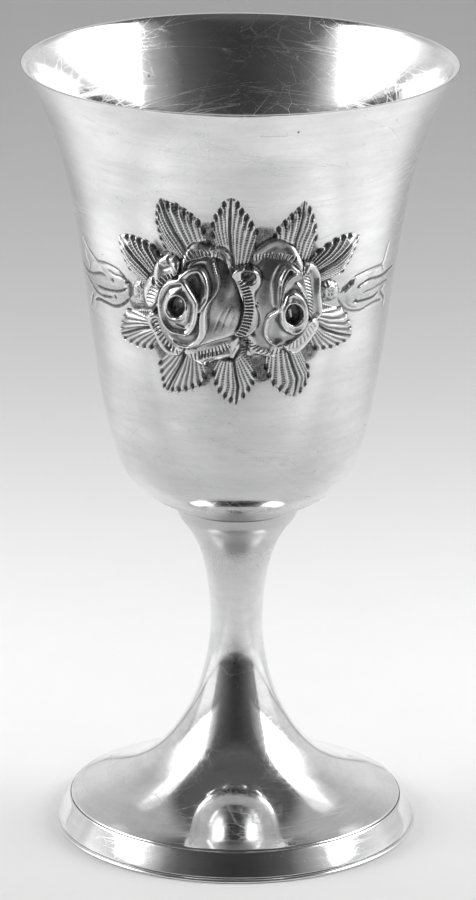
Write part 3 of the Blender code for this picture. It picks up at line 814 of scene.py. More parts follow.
def right_rose(relief):
    dome = rose_dome((9.9, 121.4), 8.8, 12.6, 3.5)
    petal = lambda *a, **k: add_petal(relief, dome, *a, **k)
    spot = lambda x, y, proud=3.0: to_wall([(x, y)], proud)[0]
    # smooth petal between the roses
    petal([(252, 290), (258, 280), (266, 270), (276, 263), (284, 261), (294, 266), (300, 280), (285, 300), (282, 314),
           (274, 322), (270, 332), (268, 340), (262, 341), (252, 337), (246, 330), (248, 300)],
          [(250, 300), (252, 290), (258, 280), (266, 270), (276, 263), (284, 261)],
          2.6, 0.75, roll=0.2, width=0.7, cup=0.3, reach=3.0, tone=0.50, bright=0.1)
    # painted shade on the smooth petal: darker at its top and down its left side
    relief.oxide_and_shade(spot(265, 292, 2.8), 1.3, 4.8, 0.75, turn=-0.15)
    relief.oxide_and_shade(spot(271, 269, 2.8), 2.2, 2.2, 1.0)
    relief.ridge(flowing(to_wall([(284, 263), (277, 270), (273, 279)], 2.8)), 0.22, 0.6, taper=1.0, worn=0.35)
    petal([(251, 263), (253.5, 255), (259, 249.5), (265.8, 245), (272.5, 241.8), (281, 240.6), (290, 243.8), (297, 247.3),
           (300.5, 253), (303.8, 262), (302.5, 268.5), (300, 278), (285, 285), (268, 279), (256, 272)],
          [(251, 263), (253.5, 255), (259, 249.5), (265.8, 245), (272.5, 241.8), (281, 240.6), (290, 243.8), (297, 247.3), (300.5, 253),
           (303.8, 262), (302.5, 268.5)],
          2.2, 0.95, roll=0.65, width=1.2, cup=0.75, reach=2.0, tone=0.72, bright=0.12)
    # painted highlights on the top petal's rim, as spots rubbed clean
    relief.wear_and_highlight(spot(268.5, 246.5), 0.45, 0.85, 1.0, turn=0.5)
    relief.wear_and_highlight(spot(295, 248.5), 0.55, 1.6, 1.0, turn=0.85)
    relief.wear_and_highlight(spot(300.5, 259.5), 0.5, 1.0, 1.0, turn=0.5)
    relief.strokes(flowing(to_wall([(254, 263.5), (262, 261.5), (272, 261), (283, 261), (290, 261.3), (296, 262.5)], 2.4)),
                   1, 0.05, 1.35, 0.58, lean=-0.25)
    petal([(303, 268), (308, 263.3), (313.6, 262.6), (318, 267), (320.8, 274), (319.8, 283), (319, 291), (320.2, 302),
           (319.2, 310.5), (314, 315.5), (306, 314), (300, 300), (299, 284)],
          [(303, 269), (308, 263.3), (313.6, 262.6), (318, 267), (320.8, 274), (319.8, 283), (319, 291), (320.2, 302), (319.2, 310.5),
           (314, 315.5)],
          1.9, 0.85, roll=0.45, width=0.42, cup=0.75, reach=1.3, tone=0.5, bright=1.0)
    relief.strokes(flowing(to_wall([(309.0, 270), (310.3, 284), (311, 297), (310.5, 308), (308, 314)], 2.4)),
                   -1, -0.3, 1.45, 0.70, lean=0.8, depth=0.28)
    # painted highlight on the side petal
    relief.wear_and_highlight(spot(313, 266, 2.4), 0.9, 0.7, 1.0)
    petal([(309, 314), (315.8, 317), (316, 324), (310.2, 333), (304.7, 340.7), (300.2, 346.2), (294.7, 350.8), (289, 350.6),
           (284.5, 347), (280, 338), (286, 328), (300, 318)],
          [(312, 314), (315.8, 317), (316, 324), (310.2, 333), (304.7, 340.7), (300.2, 346.2), (294.7, 350.8), (289, 350.6), (284.5, 347)],
          1.9, 0.85, roll=0.65, width=1.0, cup=0.5, reach=2.4, tone=0.3, bright=0.9)
    relief.strokes(flowing(to_wall([(308, 317), (303, 325), (297, 332), (290, 337), (284, 340)], 2.4)),
                   1, 0.15, 1.5, 0.70, lean=-0.5, depth=0.12, shade=0.6)
    petal([(246, 338), (248, 343), (247.5, 350), (245.8, 357), (252.5, 359), (256, 355.5), (261.5, 355), (267, 355.7),
           (271, 356.8), (275, 354), (278.2, 350.5), (280.5, 345), (280, 338), (270, 333), (256, 331)],
          [(247, 339), (248, 343), (247.5, 350), (245.8, 357), (252.5, 359), (256, 355.5), (261.5, 355), (267, 355.7), (271, 356.8),
           (275, 354), (278.2, 350.5), (280.5, 345)],
          1.9, 0.8, roll=0.7, width=1.0, cup=0.8, reach=1.3, tone=0.5, bright=1.0)
    relief.strokes(flowing(to_wall([(248.5, 339), (254, 343), (262, 346.5), (271, 347), (279, 343.5)], 2.3)),
                   -1, 0.0, 1.5, 0.66, lean=0.45, depth=0.28)
    petal([(271, 300), (271, 292), (271.5, 284), (272.8, 278), (277, 270.3), (282.4, 264.5), (288, 262.5), (296, 264),
           (302, 270), (301, 282), (285, 300), (276, 309)],
          [(271, 300), (271, 292), (271.5, 284), (272.8, 278), (277, 270.3), (282.4, 264.5), (288, 262.5), (296, 264), (302, 270)],
          3.4, 0.85, roll=0.4, width=0.6, cup=0.8, reach=1.6, tone=0.72, bright=0.35)
    # painted highlight on the inner petal
    relief.wear_and_highlight(spot(293.5, 268.5, 3.6), 1.0, 0.75, 1.0, turn=-0.6)
    petal([(277, 306), (277.2, 296), (278.5, 286), (281.5, 277.5), (286, 270.5), (291, 266.5), (297, 267), (302.5, 271),
           (304, 280), (290, 302)],
          [(277, 306), (277.2, 296), (278.5, 286), (281.5, 277.5), (286, 270.5), (291, 266.5), (297, 267), (302.5, 271)],
          3.9, 1.15, roll=0.4, width=0.45, cup=1.0, reach=1.1, tone=0.8, bright=0.3)
    relief.ridge(flowing(to_wall([(280.8, 284.5), (282, 280), (284.5, 275.5)], 4.2)), 0.25, 0.45, taper=0.7, worn=1.0)
    # painted highlight on the cupped petal
    relief.wear_and_highlight(spot(294.5, 271, 4.0), 1.2, 0.8, 0.95, turn=-0.6)
    # inside of the folded rim, then the long S-shaped rim itself
    outer = [(300, 272.2), (293.3, 275), (287.8, 279.6), (284, 286), (282.2, 293.5), (281.2, 300.3), (279.2, 305.0),
             (275.2, 309.6), (270.6, 312.8), (267.2, 317.2), (265.3, 324), (264.4, 331), (265.4, 337), (269, 341.8),
             (274, 344.8), (279.5, 344.6)]
    inner = [(300, 274.6), (294.4, 277.6), (289.6, 281.6), (286.4, 287.2), (284.8, 294.2), (283.8, 301.0), (281.8, 306.2),
             (277.8, 311.2), (273.2, 314.9), (270.0, 318.8), (268.2, 324.6), (267.4, 331), (268.4, 336.0), (271.4, 340.0),
             (275.2, 342.0), (279.8, 341.4)]
    petal(outer + [(290, 341), (300, 333), (306, 323), (309, 310), (309.5, 297), (307, 284), (304, 275)],
          outer, 4.2, 0.95, roll=0.2, width=0.4, cup=0.6, reach=1.5, tone=0.45, bright=0.0)
    add_band(relief, dome, outer, inner, 4.2, 1.2, crown=0.40)
    relief.ridge(flowing(to_wall([(296.9, 281.7), (301.3, 286), (304.7, 291.7), (308, 298)], 4.2)), 0.4, 0.45, taper=0.8, worn=1.0)
    relief.ridge(to_wall([(298, 296), (304, 292)], 4.3), 0.25, 0.25, worn=0.8)
    relief.ridge(to_wall([(297, 294), (301.5, 290.5)], 4.3), 0.2, 0.2, worn=0.6)
    ring = [(280, 313.5), (280.6, 320.6), (283.6, 326), (288, 329.6), (292.5, 331.6), (298, 331), (303.5, 327), (307, 320),
            (308.2, 310), (306.5, 300), (301.5, 293), (294.5, 290), (288, 292.5), (284, 299), (281, 306)]
    petal(ring, ring + ring[:1], 4.4, 1.4, roll=0.34, width=0.34, cup=0.5, reach=0.9, tone=0.38, bright=0.85)
    # painted highlights on the wrapped petal's lower rim
    relief.wear_and_highlight(spot(288.5, 331.5, 4.4), 1.6, 0.5, 1.0, turn=-0.15)
    relief.wear_and_highlight(spot(285, 333, 4.4), 0.8, 0.6, 0.9)
    add_eye(relief, dome, RIGHT_EYE, 10.0, 11.6, 4.9, 0.6, 1.5)
    relief.ridge(to_wall([(289, 307), (290.5, 314)], 3.2), 0.45, 0.9, worn=0.5)
    # painted glint in the eye, as a spot rubbed clean
    relief.wear_and_highlight(spot(291.5, 318.5, 3.2), 0.6, 0.45, 0.95)


LEAVES = [   # midrib from base to tip, teeth of both flanks from tip to base, spread, tone
    ([(192, 260), (184, 247), (180, 240), (174, 230), (168, 218), (163, 207), (159, 199)],
     [[(157, 206), (156, 213), (156, 221), (158, 229), (160, 237), (163, 245)],
      [(165, 203), (174, 205), (182, 210), (189, 215), (196, 221), (201, 229)]], 0.55, 0.03),
    ([(234, 272), (232, 256), (230.5, 244), (229.5, 230), (230, 215), (231, 199)],
     [[(225, 203), (221, 210), (216, 216), (213.5, 224), (213, 233)],
      [(236.5, 203), (241, 210), (246, 216), (251, 223), (256, 231)]], 0.75, 0.50),
    ([(293, 264), (294.5, 252), (296, 240), (300, 228), (304, 214), (306, 202)],
     [[(301, 209), (294, 215), (287, 221.5), (280.5, 228), (277, 236)],
      [(310, 208), (313.5, 216), (316, 226), (317, 237)]], 0.60, 0.10),
    ([(156, 281), (148, 271), (141, 263), (134, 255), (127, 246), (117, 236)],
     [[(124, 236), (130, 237), (137, 239.5), (144, 242), (150, 246), (155, 252)],
      [(118, 243), (120, 251), (123, 259), (127, 267)]], 0.62, 0.0),
    ([(312, 275), (323, 268), (333, 262), (342, 254), (351, 244.5), (361, 235.5)],
     [[(353, 235), (346, 236.5), (338, 240), (330, 245), (322, 251)],
      [(359.5, 241), (357, 248), (353.5, 255), (350, 262), (345, 270)]], 0.68, 0.0),
    ([(160, 325), (150, 327), (141, 328.5), (131, 331), (119, 334)],
     [[(119.5, 329), (120.5, 323), (122.5, 317), (126, 311)],
      [(122, 338), (128, 342), (134.5, 345), (141.5, 347), (149, 348)]], 0.85, 0.60),
    ([(308, 318), (317, 324), (325, 329.5), (336, 333), (353, 336)],
     [[(352.5, 329), (350.5, 322), (348, 315), (342, 309)],
      [(347.5, 341), (340.5, 344.5), (333.5, 347), (326, 348.5), (318, 349.5)]], 0.85, 0.52),
    ([(189, 342), (185, 354), (180, 366), (174, 377), (166, 391)],
     [[(163, 388), (161.5, 381), (160, 373), (158.5, 365)],
      [(170, 391), (177, 391.5), (184, 390.5), (191, 388), (198, 385.5), (204, 379)]], 0.85, 0.22),
    ([(285, 338), (288.5, 352), (292, 364), (297, 378), (295, 397)],
     [[(288, 394), (281.5, 390.5), (275, 385), (270, 378), (267, 370)],
      [(300.5, 393), (305.5, 386), (308.5, 378), (309, 369)]], 0.70, 0.38),
    ([(231, 347), (233.5, 360), (235.5, 373), (238, 386), (236, 405)],
     [[(231, 402.5), (225, 398), (219.5, 392.5), (216, 385), (213.5, 376)],
      [(242.5, 398), (248, 391.5), (252.5, 385), (255, 377)]], 0.88, 0.30),
]

BUD_LINES = {   # cut lines of each side bud: points, half width in mm, darkness
    -1: [([(81, 234), (84, 241), (87, 248), (91, 254), (96, 260.5), (104, 263), (112, 267), (119, 272), (128, 284)], 0.30, 0.85),
         ([(84, 246), (86, 256), (89, 265), (88, 271)], 0.28, 0.7),
         ([(82, 261), (86, 270), (92, 273), (100, 273), (106, 276)], 0.36, 0.9),
         ([(107, 269), (114, 274.5), (120, 277), (127, 283)], 0.32, 0.8),
         ([(97, 285), (104, 288.5), (112, 290.5), (120, 291), (127, 288)], 0.36, 1.0),
         ([(86, 274), (90, 282), (93, 288), (98, 292.5), (104, 296), (113, 297)], 0.34, 0.95),
         ([(94, 300), (98, 299), (104, 302), (112, 306), (118, 306), (124, 303), (129, 298)], 0.38, 1.0),
         ([(93, 292), (91, 298), (90, 306)], 0.34, 0.9),
         ([(95, 301), (95, 308)], 0.22, 0.8),
         ([(127, 279), (130, 289), (129, 299)], 0.55, 0.95)],
    1: [([(391, 240), (388, 249), (386, 257), (383, 264), (377, 267), (370, 270), (362, 274), (354, 278)], 0.28, 0.8),
        ([(394, 265), (388, 271), (380, 276), (370, 279), (363, 283.5), (357, 287)], 0.34, 0.95),
        ([(341, 293), (346, 288.5), (351, 284), (356, 279)], 0.62, 1.0),
        ([(389, 279), (380, 284), (372, 289), (362, 293)], 0.28, 0.75),
        ([(379, 290), (374, 296), (367, 299), (360, 301), (353, 302)], 0.36, 1.0),
        ([(383, 299), (377, 301), (370, 305), (363, 309.5), (356, 311), (348, 310), (343, 306), (338, 298)], 0.30, 0.85),
        ([(345, 301), (350, 306), (358, 308)], 0.22, 0.6),
        ([(386, 283), (382, 291), (385, 298), (383, 308)], 0.32, 0.9),
        ([(383, 264), (384, 271)], 0.24, 0.7)],
}
BUD_BODY = {
    -1: [(130, 285), (123, 277), (113, 268), (103, 263.5), (94, 262), (87, 268), (92, 276), (95, 284), (94, 292),
         (98, 299), (107, 303), (118, 305), (127, 300), (132, 294)],
    1: [(344, 287), (352, 280), (362, 274.5), (372, 270), (383, 266), (389, 271), (385, 280), (382, 288), (380, 298),
        (371, 304), (360, 309), (350, 308), (343, 303), (340, 295)],
}
BUD_KNOB = {
    -1: [(131, 283), (138, 280), (144, 284), (146, 293), (144, 303), (137, 308), (132, 301), (130, 292)],
    1: [(325, 284), (333, 281), (340, 284), (342, 292), (338, 299), (330, 302), (323, 298), (321, 290)],
}


def add_bud(relief, side):
    """Flat side bud: low body, long pointed sepals cut as lines."""
    loop = flowing(to_wall(BUD_BODY[side], 0.2), closed=True)
    relief.lay(loop, lambda S, Z, d: 0.28 * smooth(-0.2, 2.0, d), gap=0.1, edge=0.3, shade=0.0)
    for line, half, shade in BUD_LINES[side]:
        relief.groove(flowing(to_wall(line, 0.25)), 0.20, half * 1.15, shade=shade, taper=0.9)
    for x, y, r in {-1: ((112, 280, 0.52), (115, 297, 0.50), (122, 277, 0.36), (126, 283, 0.40), (104, 295.5, 0.30)),
                    1: ((356, 301, 0.52), (359, 287, 0.42), (366, 282, 0.30), (351, 284, 0.5))}[side]:
        relief.pit(to_wall([(x, y)], 0.3)[0], r, r, 0.22)
    for x, y, rs, rz, amount in {-1: ((104, 270, 2.0, 0.7, 0.40), (122, 284, 0.9, 1.6, 0.45), (110, 299, 1.8, 0.5, 0.35)),
                                 1: ((372, 274, 2.0, 0.7, 0.40), (348, 300, 0.9, 1.4, 0.40), (368, 295, 2.0, 0.5, 0.35))}[side]:
        relief.oxide_and_shade(to_wall([(x, y)], 0.3)[0], rs, rz, amount, turn=0.3 * side)
    loop = flowing(to_wall(BUD_KNOB[side], 0.9), closed=True)

    def grain(S, Z, d):
        return 0.9 * smooth(0, 1.2, d) + 0.13 * mottle(S * 0.5, Z * 0.5)

    relief.lay(loop, grain, gap=0.3, shade=0.95, tone=0.15)
    where, S, Z = relief.window(loop, 0.3)
    inside = within(S, Z, loop)
    relief.dark[where] = np.where(inside, 0.7 * smooth(0.1, 0.7, -mottle(S * 0.5, Z * 0.5)), relief.dark[where])


def mottle(S, Z):
    """Even spread of small bumps, as a matting punch leaves."""
    return np.sin(S * 7.7 + 2.3 * np.sin(Z * 4.9 + S)) * np.sin(Z * 8.3 + 2.1 * np.sin(S * 5.7 - Z))


MATTED = [   # pockets of punched ground, drawn as the front view shows them
    [(201, 224), (206, 222), (212, 223), (216, 226), (222, 236), (226, 250), (214, 258), (200, 258), (190, 250), (197, 236)],
    [(248, 240), (252, 230), (258, 227), (266, 227), (274, 229), (279, 240), (282, 256), (262, 260), (240, 262), (240, 248)],
    [(155, 240), (160, 244), (168, 256), (158, 266), (148, 264), (152, 250)],
    [(312, 240), (317, 246), (321, 252), (322, 262), (314, 268), (306, 258)],
    [(128, 297), (134, 302), (143, 303), (155, 300), (158, 312), (146, 318), (134, 311)],
    [(150, 330), (158, 334), (168, 348), (172, 356), (164, 362), (158, 354), (152, 342)],
    [(196, 360), (208, 358), (216, 362), (215, 372), (211, 381), (205, 385), (198, 384), (196, 378)],
    [(238, 352), (254, 356), (272, 356), (275, 366), (270, 376), (263, 381), (255, 380), (250, 372), (244, 364)],
    [(300, 344), (312, 336), (320, 340), (318, 350), (312, 358), (304, 360)],
    [(318, 262), (328, 270), (330, 284), (326, 298), (318, 304), (316, 284)],
    [(150, 266), (144, 272), (142, 284), (147, 298), (160, 296), (158, 276)],
]


def matted(relief):
    """Ground between leaves and roses, sunk and stippled."""
    for pocket in MATTED:
        loop = flowing(to_wall(pocket, 0.0), closed=True)
        relief.lay(loop, lambda S, Z, d: -0.12 + 0.07 * mottle(S * 0.9, Z * 0.9), gap=0.1, edge=0.40, shade=0.0)
        where, S, Z = relief.window(loop, 0.8)
        d = near_line(S, Z, loop, closed=True)[0]
        d = np.where(within(S, Z, loop), d, -d)
        ink = smooth(-0.7, 0.7, d) * (0.96 - 0.26 * smooth(0.0, 0.9, mottle(S * 0.9, Z * 0.9)))
        relief.dark[where] = np.maximum(relief.dark[where], ink)


def blurred(a, n):
    """Box blur run twice, n cells each way."""
    for axis in (0, 1):
        for _ in range(2):
            pad = [(0, 0), (0, 0)]
            pad[axis] = (n + 1, n)
            c = np.cumsum(np.pad(a, pad, mode="edge"), axis=axis)
            m = a.shape[axis]
            hi = np.take(c, np.arange(2 * n + 1, 2 * n + 1 + m), axis=axis)
            lo = np.take(c, np.arange(0, m), axis=axis)
            a = (hi - lo) / (2 * n + 1)
    return a


def spray(s, z):
    """Height of the chased spray above the wall and its dark recesses, mm.

    s are the columns and z the rows of the grid.
    """
    relief = Relief(s, z)
    matted(relief)
    for side in (-1, 1):
        add_bud(relief, side)
    for midrib, flanks, fan_out, tone in LEAVES:
        add_leaf(relief, midrib, flanks, fan_out, tone)
    right_rose(relief)
    left_rose(relief)
    # oxide gathers where the surface lies low, and high edges are rubbed clean
    hollow = blurred(relief.h, 4) - relief.h
    wide = blurred(relief.h, 11) - relief.h
    high = smooth(0.03, 0.16, -hollow)
    worn = np.clip(np.maximum(relief.worn, 0.75 * high), 0, 1)
    dark = relief.dark * (1 - worn)
    dark = np.maximum(dark, smooth(0.035, 0.23, hollow))
    dark = np.maximum(dark, 0.9 * smooth(0.18, 0.85, wide) * (1 - worn))
    dark = np.maximum(dark, relief.ink)
    # a thin grey bloom is left on the wall close round the work
    worked = smooth(0.02, 0.25, np.abs(relief.h)) * np.ones_like(dark)
    bloom = blurred(np.maximum(dark, 0.5 * worked), 16)
    dark = np.maximum(dark, 0.30 * smooth(0.05, 0.6, bloom) * (1 - worn))
    return relief.h, np.clip(dark, 0, 1), np.clip(0.75 * blurred(worked, 2) * (1 - 0.6 * worn), 0, 1)


# --------------------------------------------------------------------- pieces
def column_angles():
    """Columns round the bowl: close together over the spray."""
    steps = [(21.0, 0.13), (27.6, 0.16), (47.6, 0.28), (60.0, 0.8), (98.96, 1.6)]
    right, at = [0.0], 0.0
    for end, step in steps:
        n = int(round((end - at) / step))
        right += list(at + (end - at) * (np.arange(n) + 1) / n)
        at = end
    right = np.array(right) * math.pi / right[-1]
    right[-1] = math.pi
    return np.concatenate([-right[1:-1][::-1], right])


def make_bowl():
    """Raised bowl whose spray is worked up out of its own wall."""
    curve = spline(BOWL_OUTLINE, 60)
    side = normals_of(curve)
    low = curve[curve[:, 1] < 99.4]
    mid_z = np.arange(99.5, 148.6, 0.14)
    high = curve[curve[:, 1] > 148.7]
    mid = np.stack([np.interp(mid_z, curve[:, 1], curve[:, 0]), mid_z], axis=1)
    outer = np.vstack([spaced(low[8:], 0.8), mid, spaced(high, 0.7)])
    outer = outer[outer[:, 0] > 0.6]
    n_out = len(outer)
    side_out = np.stack([np.interp(outer[:, 1], curve[:, 1], side[:, k]) for k in (0, 1)], axis=1)
    wall = BOWL_WALL + (LIP_WALL - BOWL_WALL) * np.clip((outer[:, 1] - 140) / 25, 0, 1)
    inner_full = outer + side_out * wall[:, None]
    keep = outer[:, 1] < HEIGHT - 0.9
    inner_path = spaced(inner_full[keep & (inner_full[:, 0] > 1.0)], 0.9)[::-1]
    # half-round lip between the two faces
    a, b = outer[-1], inner_path[0]
    outer_top = outer[-1].copy()
    t_in = inner_path[0] - inner_path[1]
    t_in /= np.linalg.norm(t_in)
    t_out = outer[-1] - outer[-2]
    t_out /= np.linalg.norm(t_out)
    lip = []
    for k in range(1, 9):
        t = k / 9
        h = 1.15 * np.linalg.norm(b - a) * 0.6
        p1, p2 = a + t_out * h * 0.6, b + t_in * h * 0.9
        lip.append((1 - t) ** 3 * a + 3 * (1 - t) ** 2 * t * p1 + 3 * (1 - t) * t ** 2 * p2 + t ** 3 * b)
    lip = np.array(lip)
    angles = column_angles()
    # the spray, laid on the fine part of the grid
    height = np.zeros((n_out, len(angles)))
    recess, worked = np.zeros_like(height), np.zeros_like(height)
    s = angles * SPRAY_RADIUS
    rows = slice(*np.searchsorted(outer[:, 1], (99.6, 148.5)))
    cols = slice(*np.searchsorted(s, (-47.5, 47.5)))
    height[rows, cols], recess[rows, cols], worked[rows, cols] = spray(s[cols], outer[rows, 1])
    r_out = outer[:, 0][:, None] - side_out[:, 0][:, None] * height
    z_out = outer[:, 1][:, None] - side_out[:, 1][:, None] * height
    front = np.stack([r_out * np.sin(angles), -r_out * np.cos(angles), z_out], axis=-1)
    rest = turned(np.vstack([lip, inner_path]), angles)
    # seen from inside, the wall follows the worked-up spray softly
    follow = 0.8 * blurred(np.maximum(height, 0.0), 7)
    push = np.zeros(rest.shape[:2])
    for i, z in enumerate(inner_path[:, 1]):
        if 99.6 < z < 148.5:
            push[len(lip) + i] = follow[min(np.searchsorted(outer[:, 1], z), n_out - 1)]
    rest[..., 0] += push * np.sin(angles)
    rest[..., 1] -= push * np.cos(angles)
    points = np.vstack([front, rest])
    points[..., 2] = np.minimum(points[..., 2], HEIGHT)
    plain = np.zeros(rest.shape[0] * rest.shape[1])
    marks = {"recess": np.concatenate([recess.ravel(), plain]), "worked": np.concatenate([worked.ravel(), plain])}
    return grid_piece("bowl_shell", points, (0, 0, BOWL_OUTLINE[0][1]),
                      (0, 0, BOWL_OUTLINE[0][1] + BOWL_WALL), marks=marks)


def even_angles(n):
    return np.arange(n) * 2 * math.pi / n


def make_stem():
    curve = spline(STEM_OUTLINE, 40)
    side = normals_of(curve)
    outer = spaced(curve, 0.5)
    side_out = np.stack([np.interp(np.arange(len(outer)), np.linspace(0, len(outer) - 1, len(curve)), side[:, k])
                         for k in (0, 1)], axis=1)
    side_out = normals_of(outer)
    inner = (outer - side_out * STEM_WALL * (1 if side_out[len(outer) // 2, 0] > 0 else -1))
    inner = spaced(inner[::-1], 0.9)
    section = np.vstack([outer[::-1], inner[::-1]])
    return grid_piece("stem_and_foot_shell", turned(section, even_angles(240)), None, None, wrap_rows=True)


def make_border():
    face = spaced(spline(BORDER_FACE, 16), 0.14)
    section = np.vstack([face[::-1], np.array(BORDER_BACK)[::-1]])
    return grid_piece("foot_border_band", turned(section, even_angles(288)), None, None, wrap_rows=True)


def make_wire():
    p = np.array(WIRE_SECTION)
    face = spaced(spline([tuple(q) for q in p[1:7]], 10), 0.07)
    section = np.vstack([p[:1], face, p[-1:]])[::-1]
    return grid_piece("base_wire_ring", turned(section, even_angles(288)), None, None, wrap_rows=True)


bowl = make_bowl()
stem = make_stem()
border = make_border()
wire = make_wire()

# painted shade on the bowl's bottom and the stem's top, near their join
bowl_silver = silver("bowl_silver", 0.075, 1.0, oxidised=True,
                     join_shade_and_rough=[(0.0695, 1.0), (0.0735, 0.75), (0.0765, 0.0)],
                     darker_by_height=[(0.070, 0.77), (0.088, 0.76), (0.105, 0.86), (0.128, 1.0)])
foot_silver = silver("foot_silver", 0.045, 0.8, join_shade_and_rough=[(0.0500, 0.0), (0.0580, 0.50), (0.0640, 0.75), (0.0700, 0.75)],
                     darker_by_height=[(0.028, 1.0), (0.036, 0.90), (0.070, 0.90)])
border_silver = silver("border_silver", 0.045, 0.8)
wire_silver = silver("wire_silver", 0.09, 0.5)
for piece, cad, slot, mat in ((bowl, "bowl", "silver_bowl", bowl_silver),
                              (stem, "stem_and_foot", "silver_foot", foot_silver),
                              (border, "foot_border", "silver_border", border_silver),
                              (wire, "base_wire", "silver_wire", wire_silver)):
    piece.data.materials.append(mat)
    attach(piece, "root")
    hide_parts(cad)


# ---------------------------------------------------------------------- stage
def make_floor():
    """Pale round table top with a pool of light painted into its colour, brightest round the goblet."""
    mesh = bpy.data.meshes.new("table_top")
    n, rings = 96, [0.02, 0.08, 0.2, 0.4, 0.8, 1.6, 3.2, 6.4, 12.0]
    verts = [(0, 0, 0)] + [(r * math.cos(2 * math.pi * k / n), r * math.sin(2 * math.pi * k / n), 0)
                           for r in rings for k in range(n)]
    faces = [(0, 1 + k, 1 + (k + 1) % n) for k in range(n)]
    for i in range(len(rings) - 1):
        a, b = 1 + i * n, 1 + (i + 1) * n
        faces += [(a + k, b + k, b + (k + 1) % n, a + (k + 1) % n) for k in range(n)]
    mesh.from_pydata(verts, [], faces)
    obj = bpy.data.objects.new("table_top", mesh)
    bpy.context.scene.collection.objects.link(obj)
    mat, tree, bsdf = new_material("pale_table")
    coords = node(tree, "ShaderNodeTexCoord")
    parts = node(tree, "ShaderNodeSeparateXYZ")
    tree.links.new(coords.outputs["Object"], parts.inputs[0])
    # painted pool of light, oval: longer behind the goblet than in front of it
    y = maths(tree, "SUBTRACT", parts.outputs["Y"], 0.07)
    back = maths(tree, "MAXIMUM", maths(tree, "DIVIDE", y, 0.235), 0.0)
    front = maths(tree, "MINIMUM", maths(tree, "DIVIDE", y, 0.21), 0.0)
    yy = maths(tree, "ADD", back, front)
    xx = maths(tree, "DIVIDE", parts.outputs["X"], 1.3)
    d2 = maths(tree, "ADD", maths(tree, "MULTIPLY", xx, xx), maths(tree, "MULTIPLY", yy, yy))
    fall = maths(tree, "DIVIDE", 1.0, maths(tree, "ADD", d2, 1.0))
    level = ramp(tree, fall, [(0.0, 0.34), (1.0, 0.95)])
    # painted shade: the cloth is less lit well in front of the goblet
    near = maths(tree, "MULTIPLY_ADD", parts.outputs["Y"], 2.0)
    near.node.inputs[2].default_value = 1.5
    level = maths(tree, "MULTIPLY", level, ramp(tree, near, [(0.0, 0.34), (0.50, 0.38), (0.57, 0.95), (0.75, 1.0)]))
    # painted shade: a darker strip down the middle of the table
    side = ramp(tree, maths(tree, "ABSOLUTE", parts.outputs["X"]), [(0.0, 0.83), (0.07, 0.85), (0.16, 0.94), (0.24, 0.96)])
    level = maths(tree, "MULTIPLY", level, side)
    # painted light a little brighter again in front of it, and painted shade behind it out at the sides
    ahead = maths(tree, "MULTIPLY", parts.outputs["Y"], -10.0)
    aside = ramp(tree, maths(tree, "MULTIPLY", maths(tree, "ABSOLUTE", parts.outputs["X"]), 4.0), [(0.12, 0.0), (0.52, 1.0)])
    gain = maths(tree, "MULTIPLY_ADD", aside, 0.17)
    gain.node.inputs[2].default_value = 0.11
    lift = maths(tree, "MULTIPLY_ADD", ramp(tree, ahead, [(0.60, 0.0), (1.0, 1.0)]), gain)
    lift.node.inputs[2].default_value = 1.0
    level = maths(tree, "MULTIPLY", level, lift)
    behind = ramp(tree, maths(tree, "MULTIPLY", parts.outputs["Y"], 2.5),
                  [(0.0, 0.05), (0.12, 0.25), (0.30, 0.50), (0.45, 0.80), (0.62, 1.0)])
    wide = ramp(tree, maths(tree, "MULTIPLY", maths(tree, "ABSOLUTE", parts.outputs["X"]), 2.0),
                [(0.14, 0.0), (0.40, 1.0), (0.49, 1.0), (0.58, 0.15), (1.0, 0.0)])
    drop = maths(tree, "MULTIPLY_ADD", maths(tree, "MULTIPLY", behind, wide), -0.36)
    drop.node.inputs[2].default_value = 1.0
    level = maths(tree, "MULTIPLY", level, drop)
    # beyond that painted light makes the table bright again
    outer = ramp(tree, maths(tree, "ABSOLUTE", parts.outputs["X"]), [(0.25, 0.0), (0.33, 1.0)])
    level = maths(tree, "MINIMUM", maths(tree, "ADD", level, maths(tree, "MULTIPLY", outer, 0.15)), 0.97)
    grain = streaks(tree, (55, 55, 55), 4.0)
    shade = node(tree, "ShaderNodeMix", data_type="RGBA", blend_type="MULTIPLY")
    shade.inputs["Factor"].default_value = 1.0
    tree.links.new(level, shade.inputs["A"])
    tree.links.new(ramp(tree, grain, [(0.3, 0.985), (0.7, 1.0)]), shade.inputs["B"])
    tree.links.new(shade.outputs["Result"], bsdf.inputs["Base Color"])
    bsdf.inputs["Roughness"].default_value = 0.7
    bsdf.inputs["Specular IOR Level"].default_value = 0.15
    mesh.materials.append(mat)
    return obj


